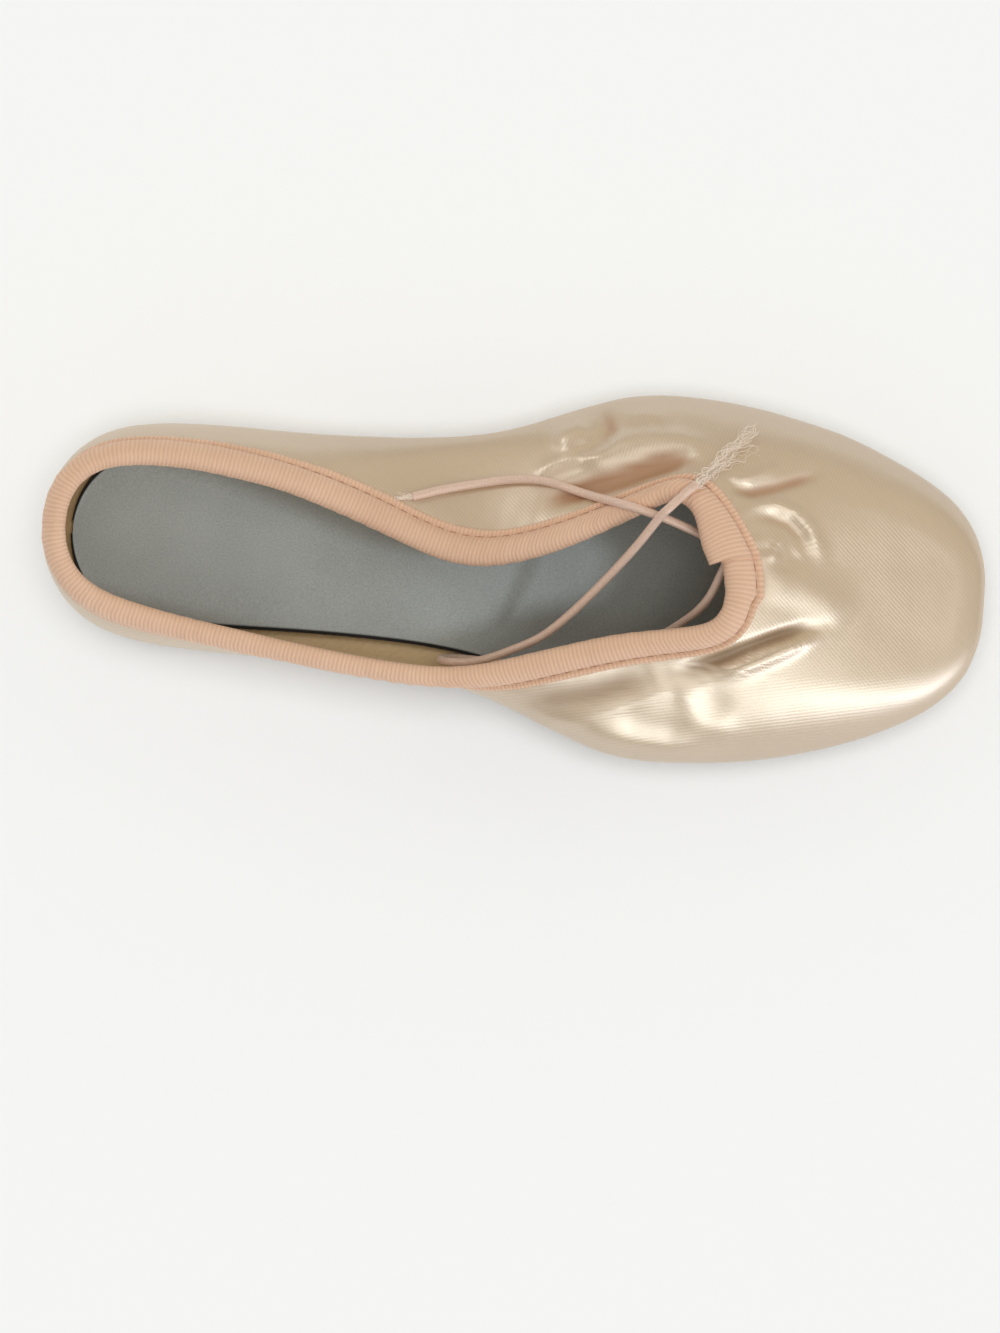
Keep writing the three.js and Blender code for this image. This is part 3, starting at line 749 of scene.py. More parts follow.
class PointeShoeColours(bpy.types.PropertyGroup):
    """The colour of each material, and a darker one that it drifts towards."""

    satin: colour_property("Satin", "Warp threads of the satin", "#CAB08C")
    satin_shade: colour_property("Satin shade", "Where the satin is flatter in tone", "#BFA381")
    # Painted shade: the next colour is painted deep in the far side's creases, and the one after it in the
    # near side's creases and low down beside the sole.
    satin_fold_painted_shade: colour_property("Satin in far folds", "Deep in the far side's creases", "#A86C2C")
    satin_painted_shade: colour_property("Satin in near folds", "Near side's creases, and beside the sole", "#8C6428")
    satin_gloss: colour_property("Satin gloss", "Tint of the satin's sheen", "#FFF4E0")
    lining: colour_property("Lining", "Canvas inside", "#E6D0AC")
    lining_shade: colour_property("Lining shade", "Canvas between threads", "#D3B88F")
    tape: colour_property("Tape", "Ribbed binding", "#F4D0B7")
    tape_shade: colour_property("Tape shade", "Binding's darker threads", "#E4BCA2")
    thread: colour_property("Thread", "Stitching of the binding", "#C9987F")
    thread_shade: colour_property("Thread shade", "Stitching's darker strands", "#9A6E5A")
    cord: colour_property("Cord", "Drawstring", "#E9CFC1")
    cord_painted_shade: colour_property("Cord shade", "Between the braid's strands", "#D9BAAB")
    fibre: colour_property("Fibre", "Frayed ends", "#FFF6EC")
    fibre_shade: colour_property("Fibre shade", "Frayed ends, deeper in", "#F6E6DA")
    insole: colour_property("Insole", "Grey insole cloth", "#B0B7B9")
    insole_shade: colour_property("Insole shade", "Insole's flattened nap", "#9AA1A3")
    sole: colour_property("Sole", "Leather", "#C79F77")
    sole_shade: colour_property("Sole shade", "Leather's darker patches", "#AE855F")


def sizes():
    return bpy.context.scene.pointe_shoe_sizes


def colours():
    return bpy.context.scene.pointe_shoe_colours


# Main creases of the vamp and the quarters, as the photograph shows them, seen from above.
# Height in millimetres, a trough below 0; half width; and the line, in millimetres from the shoe's middle.
CREASES = (
    # Far side: a fold lies along the tape, with a broad ridge outside it and small ones towards the heel.
    (-2.8, 2.5, 0, (
        (4.0, 14.6), (11.8, 18.6), (20.2, 22.0), (27.1, 25.0), (32.9, 27.9), (39.6, 30.2), (46.0, 29.2),
    )),
    (1.5, 3.0, 0, (
        (12.0, 23.4), (17.0, 27.4), (22.6, 31.3), (29.6, 33.6), (37.2, 34.1), (43.4, 33.0), (49.0, 31.0),
    )),
    (1.9, 4.0, 0, ((7.0, 30.0), (10.6, 32.4), (13.6, 34.8), (15.6, 37.0))),
    (-1.2, 2.0, 0, ((19.2, 43.5), (20.2, 39.5), (21.5, 36.0), (19.8, 32.4), (15.6, 30.2), (9.0, 27.2))),
    (0.9, 1.6, 0, ((2.3, 21.6), (8.3, 26.1), (14.7, 28.4), (22.0, 27.0))),
    (-0.6, 1.4, 0, ((2.5, 19.0), (8.5, 23.4), (14.9, 25.6), (20.9, 24.6))),
    (0.5, 1.8, 0, ((24.0, 38.5), (30.0, 40.0), (37.0, 39.0))),
    # Far corner of the throat: puckered crumples.
    (0.8, 1.4, 0.12, ((50.2, 27.6), (55.4, 26.0), (60.3, 28.3), (65.2, 30.4))),
    (-1.3, 1.7, 0, ((50.4, 25.2), (53.4, 23.3), (57.2, 22.7), (63.1, 24.6), (70.0, 27.5), (76.0, 29.0))),
    (0.9, 1.9, 0.05, (
        (54.6, 17.8), (58.3, 19.6), (63.3, 20.4), (68.5, 18.8), (72.4, 15.4), (75.3, 10.0), (77.0, 6.0),
    )),
    (-0.7, 1.7, 0, ((57.3, 16.2), (62.3, 17.0), (67.1, 15.8), (70.2, 13.0), (71.9, 9.0))),
    (0.6, 1.5, 0.05, ((62.8, 5.0), (64.2, 9.2), (67.0, 13.0))),
    (-0.4, 2.2, 0, ((65.8, 3.0), (67.5, 6.2), (70.5, 9.0))),
    # Near corner: one deep fold with a puckered lip, and a soft ridge on its other side.
    (1.4, 5.2, 0, ((58.0, 1.5), (64.0, 1.4), (71.0, 0.2), (79.0, -3.2), (86.0, -7.0))),
    (-2.6, 1.8, 0, (
        (40.8, -24.6), (46.8, -22.4), (52.2, -20.2), (57.5, -17.7), (65.1, -13.8), (72.5, -10.3),
        (78.7, -8.7),
    )),
    (1.3, 2.0, 0.06, (
        (50.0, -24.2), (56.2, -21.9), (62.4, -19.0), (68.3, -16.0), (74.8, -12.3), (79.0, -10.4),
    )),
    (0.6, 1.2, 0.12, ((55.0, -19.4), (60.0, -17.1), (66.4, -14.7), (72.5, -12.0))),
    # Near side: a flat band beside the tape, a ridge low down, and soft dents between.
    (-1.5, 3.6, 0, ((2.0, -35.0), (12.0, -34.0), (22.0, -31.0), (31.0, -27.4), (39.0, -24.2))),
    (0.8, 2.0, 0, (
        (0.0, -40.6), (10.0, -38.6), (19.6, -36.4), (29.9, -32.2), (40.4, -27.8), (48.8, -25.2),
    )),
    (1.1, 3.6, 0, ((14.6, -38.6), (29.0, -40.9), (42.9, -42.4), (56.3, -41.0))),
    (-0.5, 3.4, 0, ((28.0, -36.7), (38.0, -37.9), (47.8, -37.6))),
    (-0.4, 3.4, 0, ((49.9, -27.1), (53.1, -30.3), (54.9, -34.2))),
    (0.5, 3.0, 0, ((44.3, -33.1), (50.6, -35.9), (60.4, -36.8))),
    (0.5, 2.6, 0, ((42.9, -29.0), (48.7, -30.1))),
)


def crease_height(x, y):
    """Sum of the creases at points seen from above, in millimetres from the shoe's middle."""
    total = np.zeros(x.shape)
    for height, width, ruffle, line in CREASES:
        line = np.array(line, float)
        legs = np.linalg.norm(np.diff(line, axis=0), axis=1)
        gone = np.concatenate([[0], np.cumsum(legs)])
        best = np.full(x.shape, 1e9)
        where = np.zeros(x.shape)
        for k in range(len(line) - 1):
            (ax, ay), (bx, by) = line[k], line[k + 1]
            t = np.clip(((x - ax) * (bx - ax) + (y - ay) * (by - ay)) / legs[k] ** 2, 0, 1)
            away = np.hypot(x - ax - t * (bx - ax), y - ay - t * (by - ay))
            nearer = away < best
            best = np.where(nearer, away, best)
            where = np.where(nearer, gone[k] + t * legs[k], where)
        share = where / gone[-1]
        taper = 0.12 + 0.88 * smooth(share / 0.3) * smooth((1 - share) / 0.3)
        total += height * taper * np.exp(-((best / width) ** 2))
        puckers = np.sin(where / 2.0 * 2 * np.pi + 1.7 * np.sin(where * 1.3) + 0.5 * best)
        total += ruffle * taper * puckers * np.exp(-((best / width / 1.25) ** 2))
    return total * sizes().crease_depth


def soft_noise(points, size, seed):
    """Smooth noise between -1 and 1 at points in millimetres, with hills about this large."""
    flat = points.reshape(-1, 3) / size + seed
    return np.array([noise.noise(Vector(p)) for p in flat]).reshape(points.shape[:-1])


def girth_to(around, up=1.0):
    """Distance round the shoe from the back seam, at the rim or lower, for sorted sections of the loop."""
    edge = outer(np.append(around, around[0] + 1), up)
    return np.concatenate([[0], np.cumsum(np.linalg.norm(np.diff(edge, axis=0), axis=1))])


def satin_relief(points, around, distance, along, up):
    """How far the satin stands out from the last, in millimetres, and how deep it lies in a fold, 0 to 1."""
    x, y, z = points[..., 0] - LENGTH / 2, points[..., 1], points[..., 2]
    clear = smooth((distance - sizes().stitch_line / MM * tape_share(around)) / 3)
    creases = crease_height(x, y) * smooth((z - 20) / 8) * clear
    relief = creases + clear * (0.3 * soft_noise(points, 24, 3.1) + 0.07 * soft_noise(points, 8, 7.7))
    # Gathers stand square to the tape, and fade a finger's width below it.
    waves = np.sin(along / 5.1 * 2 * np.pi) + 0.7 * np.sin(along / 3.4 * 2 * np.pi + 1.3)
    strength = 0.1 + 0.9 * np.clip(soft_noise(np.stack([along / 2, 0 * along, 0 * along], -1), 9, 1.9), 0, 1)
    relief += 0.16 * waves * strength * clear * smooth((20 - distance) / 11)
    # Back seam, pressed flat.
    seam = np.minimum(around, 1 - around) * 640
    relief -= 0.5 * np.exp(-((seam / 0.7) ** 2)) * smooth((up - 0.12) / 0.1) * clear
    # Pleats where the satin is drawn in under the toes, 68 to the whole loop.
    toe = smooth((0.19 - np.abs(around - 0.5)) / 0.04)
    pleats = np.abs(np.sin((around - 0.5) * 2 * np.pi * 34))
    relief += 0.75 * (pleats - 0.6) * toe * smooth((0.3 - up) / 0.12) * smooth(up / 0.03 + 0.3)
    return relief, smooth(-creases / 1.7)


class SHOE_OT_upper(bpy.types.Operator):
    """Builds the satin upper with its lining, creases and pleats"""

    bl_idname = "pointe_shoe.upper"
    bl_label = "Upper"

    def execute(self, context):
        # Columns lie closer on the vamp, where the creases are, and beside the back seam.
        around = np.concatenate(
            [
                np.linspace(0, 0.006, 12)[:-1],
                np.linspace(0.006, 0.38, 150)[:-1],
                np.linspace(0.38, 0.62, 252)[:-1],
                np.linspace(0.62, 0.994, 150)[:-1],
                np.linspace(0.994, 1, 12)[:-1],
            ]
        )
        ups = np.concatenate(
            [
                np.linspace(0, 0.1, 6)[:-1],
                np.linspace(0.1, 0.3, 14)[:-1],
                np.linspace(0.3, 0.4, 6)[:-1],
                np.linspace(0.4, 0.68, 29)[:-1],
                np.linspace(0.68, 1, 94),
            ]
        )
        a, u = np.meshgrid(around, ups, indexing="ij")
        fine, gone = section_distances(around)
        distance = np.stack([np.interp(1 - ups, 1 - fine, row) for row in gone])
        along = np.broadcast_to(girth_to(around)[:-1, None], a.shape)
        points = outer(a, u)
        relief, hollow = satin_relief(points, a, distance, along, u)
        outside = points + outward(a, u) * relief[..., None]
        # The lining follows the satin inwards, so that the wall keeps its thickness in a fold.
        inner_ups = np.linspace(1, 0, 26)
        a2, u2 = np.meshgrid(around, inner_ups, indexing="ij")
        distance2 = np.stack([np.interp(1 - inner_ups, 1 - fine, row) for row in gone])
        points2 = outer(a2, u2)
        along2 = np.broadcast_to(along[:, :1], a2.shape)
        relief2 = satin_relief(points2, a2, distance2, along2, u2)[0]
        depth = wall(a2, distance2) - np.minimum(relief2, 0) * smooth((u2 - 0.35) / 0.1)
        inside = points2 - outward(a2, u2) * depth[..., None]
        rings = to_row(np.concatenate([outside, inside], axis=1))
        width = rings.shape[1]
        across = np.concatenate([distance, distance2], axis=1) * MM
        across = np.concatenate([across, across[:, :1]], axis=1)
        across = np.concatenate([across, across[:1]], axis=0)
        lengthwise = np.broadcast_to(girth_to(around, 0.35)[:, None] * MM, across.shape)
        groups = np.zeros(width, int)
        groups[len(ups) :] = 1
        made = grid_mesh("upper_satin", rings, True, True, lengthwise, across, groups)
        # How deep each point lies in a fold: the satin's material paints shade there and dulls its gloss.
        depths = np.concatenate([hollow, np.zeros(a2.shape)], axis=1)
        attribute = made.data.attributes.new("hollow", "FLOAT", "POINT")
        attribute.data.foreach_set("value", depths.astype(np.float32).ravel())
        carried(made, ["upper"], [satin(), canvas()])
        return {"FINISHED"}


# The tape's section, from the outside's lower edge over the collar's edge and down the inside:
# distance below the edge, or beyond it where negative, and how far out it stands from the satin.
TAPE_SECTION = (
    (8.35, -0.15), (8.4, 0.4), (8.15, 0.72), (7.5, 0.75), (6.9, 0.6), (6.35, 0.15), (5.95, 0.75),
    (5.4, 1.35), (4.5, 1.95), (3.4, 2.3), (2.3, 2.4), (1.2, 2.25), (0.2, 1.9), (-0.7, 1.35),
    (-1.3, 0.5), (-1.5, -0.5), (-1.4, -1.4), (-1.0, -2.1), (-0.3, -2.55), (0.8, -2.75), (2.4, -2.8),
    (4.0, -2.7), (5.4, -2.6), (5.5, -2.2), (3.0, -1.75), (0.0, -1.7), (-0.3, -0.8), (0.0, 0.05),
    (4.0, 0.0),
)


# Width that the section's outer side is drawn at.
DRAWN_WIDTH = 8.4


def tape_share(around):
    """How much of its width the tape shows outside: all at the throat, least on the near side."""
    near = smooth((around - 0.535) / 0.05) * smooth((1.0 - around) / 0.12)
    far = smooth(around / 0.12) * smooth((0.43 - around) / 0.05)
    return 1 - 0.2 * near - 0.08 * far


def on_rim(around, below, out):
    """Points of the tape: below is the distance under the collar's edge, out the distance from the satin."""
    fine, gone = section_distances(around)
    edge = outer(around, 1.0)
    along = outer(around + 2e-3, 1.0) - outer(around - 2e-3, 1.0)
    top_out = outward(around, np.ones(len(around)))
    beyond = unit(np.cross(along, top_out))
    places = np.zeros(below.shape + (3,))
    for j in range(below.shape[1]):
        up = np.array([np.interp(max(b, 0), row, fine) for b, row in zip(below[:, j], gone)])
        face = outer(around, up) + outward(around, up) * out[:, j, None]
        over = edge + beyond * -below[:, j, None] + top_out * out[:, j, None]
        places[:, j] = np.where((below[:, j] > 0)[:, None], face, over)
    return places


class SHOE_OT_binding(bpy.types.Operator):
    """Builds the ribbed tape round the collar, with the drawstring's tunnel and the lap at the throat"""

    bl_idname = "pointe_shoe.binding"
    bl_label = "Binding"

    def execute(self, context):
        # A pair of columns stands at the lap, so that its edge is sharp.
        columns, lap_pair = 907, [LAP_EDGE, LAP_EDGE + 6e-5]
        around = np.sort(np.concatenate([np.arange(columns) / columns, lap_pair]))
        length = girth_to(around)
        mid = length[:-1]
        section = np.array(TAPE_SECTION)
        line_at = sizes().stitch_line / MM
        outer_side = (section[:, 0] > 0) & (section[:, 1] > -0.3)
        section[:, 0] *= np.where(outer_side, sizes().tape_outside / MM / DRAWN_WIDTH, 1)
        below = np.broadcast_to(section[:, 0], (len(around), len(section))).copy()
        below *= np.where(outer_side[None], tape_share(around)[:, None], 1)
        out = np.broadcast_to(section[:, 1], below.shape).copy()
        # The tunnel puffs and pinches along its length where the drawstring gathers it.
        line = np.stack([mid, 0 * mid, 0 * mid], -1)
        puff = soft_noise(line, 13, 4.4)
        gather = np.sin(mid / 4.3 * 2 * np.pi + 2 * soft_noise(line, 20, 8.2))
        gather *= np.clip(soft_noise(line, 16, 5.9) + 0.35, 0, 1)
        dome = np.clip(section[:, 1] - 0.7, 0, 2) / 1.7
        roof = (section[:, 0] < 0.1) & (section[:, 1] > -3)
        roof_side = np.arange(len(section)) < 20
        out += dome * (0.3 * puff + 0.22 * gather)[:, None]
        below -= roof * (0.3 * puff + 0.15 * gather)[:, None]
        # The stitches pull the groove in, and the lower edge wanders a little.
        stitch = 0.5 + 0.5 * np.cos(mid / (sizes().stitch_length / MM) * 2 * np.pi)
        groove = np.exp(-(((section[:, 0] - line_at) / 0.4) ** 2)) * (section[:, 1] > 0)
        out -= groove * (0.22 * stitch)[:, None]
        hem = (section[:, 0] > line_at + 0.8) * (section[:, 1] > -0.2)
        below += hem * (0.22 * soft_noise(line, 7, 2.6) + 0.07 * stitch)[:, None]
        before = np.interp(LAP_EDGE, around, mid) - mid
        lap = np.where(before >= -1e-6, 1 - smooth((before - 4) / 13), 0) * sizes().lap_step / MM
        outside = np.clip((section[:, 1] + 0.1) / 0.5, 0, 1)
        out += outside * lap[:, None]
        inward = lap * sizes().lap_inward / sizes().lap_step
        over_edge = np.interp(section[:, 0], [-1.5, 1.3], [1, 0]) * (section[:, 1] > -2.8)
        below -= over_edge * roof_side * inward[:, None]
        rings = to_row(on_rim(around, below, out))
        girth = np.linalg.norm(np.diff(section, axis=0, append=section[:1]), axis=1)
        across = np.concatenate([[0], np.cumsum(girth)]) * MM
        u = np.broadcast_to(length[:, None], (len(length), len(across))) * MM
        v = np.broadcast_to(across, u.shape)
        made = grid_mesh("binding_tape", rings, True, True, u, v)
        carried(made, ["binding"], [ribbed_tape()])
        return {"FINISHED"}


class SHOE_OT_stitches(bpy.types.Operator):
    """Builds the running stitches that hold the tape"""

    bl_idname = "pointe_shoe.stitches"
    bl_label = "Stitches"

    def execute(self, context):
        fine = np.arange(3000) / 3000
        length = girth_to(fine)
        pitch = sizes().stitch_length / MM
        count = int(length[-1] / pitch)
        starts = (np.arange(count) + 0.5) * length[-1] / count
        sides, stations = 6, 5
        faces = []
        offsets = np.linspace(-0.32, 0.32, stations) * pitch
        thick = np.array([0.05, 0.17, 0.2, 0.17, 0.05])
        sink = np.array([0.05, 0.2, 0.26, 0.2, 0.05])
        spots = (starts[:, None] + offsets[None, :]).ravel() % length[-1]
        flat = np.interp(spots, length, np.append(fine, 1.0))
        rise = np.tile(sink, count)
        line_at = sizes().stitch_line / MM * tape_share(flat)[:, None]
        centre = on_rim(flat, line_at, rise[:, None])[:, 0]
        lower = on_rim(flat, line_at + 0.5, rise[:, None])[:, 0]
        out = on_rim(flat, line_at, rise[:, None] + 1)[:, 0] - centre
        side, out = unit(lower - centre), unit(out)
        turns = np.arange(sides) / sides * 2 * np.pi
        size = np.tile(thick, count)[:, None, None]
        rings = centre[:, None] + size * (
            side[:, None] * np.cos(turns)[None, :, None] + out[:, None] * np.sin(turns)[None, :, None]
        )
        vertices = to_row(rings.reshape(-1, 3))
        for s in range(count):
            for k in range(stations - 1):
                a = (s * stations + k) * sides
                for j in range(sides):
                    n = (j + 1) % sides
                    faces.append((a + j, a + n, a + sides + n, a + sides + j))
        mesh = bpy.data.meshes.new("binding_stitches")
        mesh.from_pydata(vertices.tolist(), [], faces)
        mesh.polygons.foreach_set("use_smooth", np.ones(len(faces), bool))
        carried(placed("binding_stitches", mesh), (), [sewing_thread()])
        return {"FINISHED"}


class SHOE_OT_insole(bpy.types.Operator):
    """Builds the grey insole that lies on the turned-in satin"""

    bl_idname = "pointe_shoe.insole"
    bl_label = "Insole"

    def execute(self, context):
        stations, cells = 170, 48
        around = np.linspace(0.004, 0.496, stations)
        thick = sizes().insole_thickness / MM

        def bed(where, up, height):
            fine, gone = section_distances(where)
            distance = np.array([np.interp(1 - up, 1 - fine, row) for row in gone])
            level = np.full(len(where), up)
            depth = wall(where, distance) + 0.3 + height
            return outer(where, level) - outward(where, level) * depth[:, None]

        far, near = bed(around, 0.15, thick), bed(-around, 0.15, thick)
        low_far, low_near = bed(around, 0.13, 0.1), bed(-around, 0.13, 0.1)
        flat = bed(around, 0.0, thick)[:, 2]
        t = np.linspace(-1, 1, cells + 1)
        share = (t + 1) / 2
        top = mix(near[:, None], far[:, None], share[None, :, None])
        edge = mix(near[:, 2][:, None], far[:, 2][:, None], share[None])
        top[..., 2] = mix(flat[:, None], edge, np.abs(t)[None] ** 5)
        top[..., 2] += 0.12 * soft_noise(top, 9, 6.3) * (1 - np.abs(t)[None] ** 6)
        rings = to_row(np.concatenate([low_near[:, None], top, low_far[:, None]], axis=1))
        long = np.concatenate([[0], np.cumsum(np.linalg.norm(np.diff(top[:, cells // 2], axis=0), axis=1))])
        half = np.linalg.norm(far - near, axis=1) / 2
        inward = np.concatenate([[-0.5], 1 - np.abs(t), [-0.5]])[None, :] * half[:, None]
        u = np.broadcast_to(long[:, None], inward.shape) * MM
        made = grid_mesh("insole_cloth", rings, False, False, u, inward * MM)
        carried(made, ["insole"], [brushed_cloth()])
        return {"FINISHED"}


class SHOE_OT_outsole(bpy.types.Operator):
    """Builds the leather sole with its skived edge"""

    bl_idname = "pointe_shoe.outsole"
    bl_label = "Outsole"

    def execute(self, context):
        stations = 200
        around = np.concatenate([[0.0005], np.arange(1, stations) / stations / 2, [0.4995]])
        thick = sizes().sole_thickness / MM
        x, y = sole_x(around), np.maximum(sole_y(around), 0.02)
        # The front is straight for a few millimetres: one station stands for all that fall on it.
        kept = np.abs(np.diff(x, prepend=x[0] - 1)) > 0.01
        x, y = x[kept], y[kept]
        low = lift(x)
        t = np.linspace(-1, 1, 41)
        skive = np.clip(1 - (1 - np.abs(t)) * y[:, None] / 1.6, 0, 1) ** 2
        under_y = t[None] * np.maximum(y - 0.25, 0.5 * y)[:, None]
        across = np.broadcast_to(x[:, None], under_y.shape)
        bottom = np.stack([across, under_y, low[:, None] + 0.9 * skive], -1)
        over_y = t[None, ::-1] * y[:, None]
        over = np.stack([across, over_y, np.broadcast_to((low + thick)[:, None], over_y.shape)], -1)
        rings = to_row(np.concatenate([bottom, over], axis=1))
        made = grid_mesh("outsole_leather", rings, False, True)
        # The two narrow ends are closed, so that the leather is one whole piece.
        body = bmesh.new()
        body.from_mesh(made.data)
        bmesh.ops.holes_fill(body, edges=[edge for edge in body.edges if edge.is_boundary])
        bmesh.ops.recalc_face_normals(body, faces=body.faces)
        body.to_mesh(made.data)
        body.free()
        carried(made, ["outsole"], [sole_leather()])
        return {"FINISHED"}


# The drawstring's free ends, as in the solids: share of LENGTH, share of COLLAR_WIDTH, and height:
# a share of THROAT_HEIGHT in the air, or None where it rests on what is below, or "in" on the insole.
SHORT_END = (
    (0.716, 0.22, 0.78), (0.7, 0.275, 0.83), (0.678, 0.325, 0.885), (0.65, 0.38, 0.93),
    (0.617, 0.43, None), (0.59, 0.465, None), (0.566, 0.5, None), (0.526, 0.56, None),
    (0.493, 0.555, None), (0.461, 0.515, None), (0.418, 0.445, None), (0.388, 0.38, None),
)
SHORT_TUFT = ((0.386, 0.376), (0.377, 0.372), (0.368, 0.371))
LONG_END = (
    (0.722, 0.13, 0.76), (0.716, 0.03, 0.77), (0.708, -0.1, 0.745), (0.697, -0.2, 0.68),
    (0.685, -0.27, 0.6), (0.66, -0.39, 0.46), (0.625, -0.5, 0.3), (0.58, -0.6, "in"),
    (0.53, -0.66, "in"), (0.492, -0.66, "in"), (0.458, -0.65, "in"), (0.438, -0.66, 0.324),
    (0.431, -0.67, 0.405), (0.438, -0.68, 0.486), (0.456, -0.675, 0.523), (0.472, -0.655, 0.53),
    (0.487, -0.62, 0.54), (0.504, -0.57, 0.56), (0.536, -0.46, 0.6), (0.566, -0.28, 0.67),
    (0.596, -0.06, 0.78), (0.625, 0.175, 0.92), (0.646, 0.375, 1.035), (0.655, 0.44, 1.07),
    (0.668, 0.53, None), (0.681, 0.61, None),
)
LONG_TUFT = ((0.684, 0.628), (0.702, 0.75), (0.725, 0.88), (0.749, 1.01))


def resting_surface():
    """A search tree over the satin, the tape and the insole."""
    vertices, faces = [], []
    for name in ("upper_satin", "binding_tape", "insole_cloth"):
        mesh = bpy.data.objects[name].data
        base = len(vertices)
        vertices += [v.co.copy() for v in mesh.vertices]
        faces += [[base + i for i in p.vertices] for p in mesh.polygons]
    return BVHTree.FromPolygons(vertices, faces)


def top_under(tree, x, y, start, reach):
    """The highest surface under a round spot, all in millimetres."""
    best = 0.0
    for k in range(9):
        turn = k * math.pi / 4
        grow = 0 if k == 8 else reach
        spot = Vector((x - LENGTH / 2 + grow * math.cos(turn), y + grow * math.sin(turn), start)) * MM
        hit = tree.ray_cast(spot, Vector((0, 0, -1)))[0]
        if hit:
            best = max(best, hit.z / MM)
    return best


def catmull(points, steps):
    """A smooth line through the points."""
    p = np.array(points, float)
    p = np.vstack([2 * p[0] - p[1], p, 2 * p[-1] - p[-2]])
    line = []
    for k in range(1, len(p) - 2):
        for f in np.arange(steps) / steps:
            a, b, c, d = p[k - 1], p[k], p[k + 1], p[k + 2]
            square, cube = 2 * a - 5 * b + 4 * c - d, 3 * b - a - 3 * c + d
            line.append(0.5 * (2 * b + (c - a) * f + square * f**2 + cube * f**3))
    line.append(p[-2])
    return np.array(line)


STEPS_PER_LEG = 7


def route_of(tree, rows, radius):
    """The cord's centre line through its rows, resting where they say."""
    points = []
    for along, across, height in rows:
        x, y = along * LENGTH, across * COLLAR_WIDTH
        if height in (None, "in"):
            start = 2 * HEEL_HEIGHT if height is None else 0.5 * THROAT_HEIGHT
            points.append((x, y, top_under(tree, x, y, start, 0.6 * radius) + radius))
        else:
            points.append((x, y, height * THROAT_HEIGHT))
    line = catmull(points, STEPS_PER_LEG)
    # Where the line rests on something, it follows it all the way.
    for k in range(len(line)):
        leg = k // STEPS_PER_LEG
        this_row, next_row = (rows[min(i, len(rows) - 1)] for i in (leg, leg + 1))
        if this_row[2] is None and next_row[2] is None:
            ground = top_under(tree, line[k, 0], line[k, 1], 2 * HEEL_HEIGHT, 0.5 * radius)
            line[k, 2] = max(line[k, 2], ground + radius)
    for _ in range(3):
        line[1:-1] = 0.25 * line[:-2] + 0.5 * line[1:-1] + 0.25 * line[2:]
    return line


def cord_curve(name, line, radius):
    """A round cord along a line, as a curve of one open spline."""
    data = bpy.data.curves.new(name, "CURVE")
    data.dimensions = "3D"
    data.bevel_depth = radius * MM
    data.bevel_resolution = 3
    data.use_fill_caps = True
    spline = data.splines.new("POLY")
    spline.points.add(len(line) - 1)
    spots = to_row(line)
    for point, spot in zip(spline.points, spots):
        point.co = (*spot, 1)
    return placed(name, data), spots


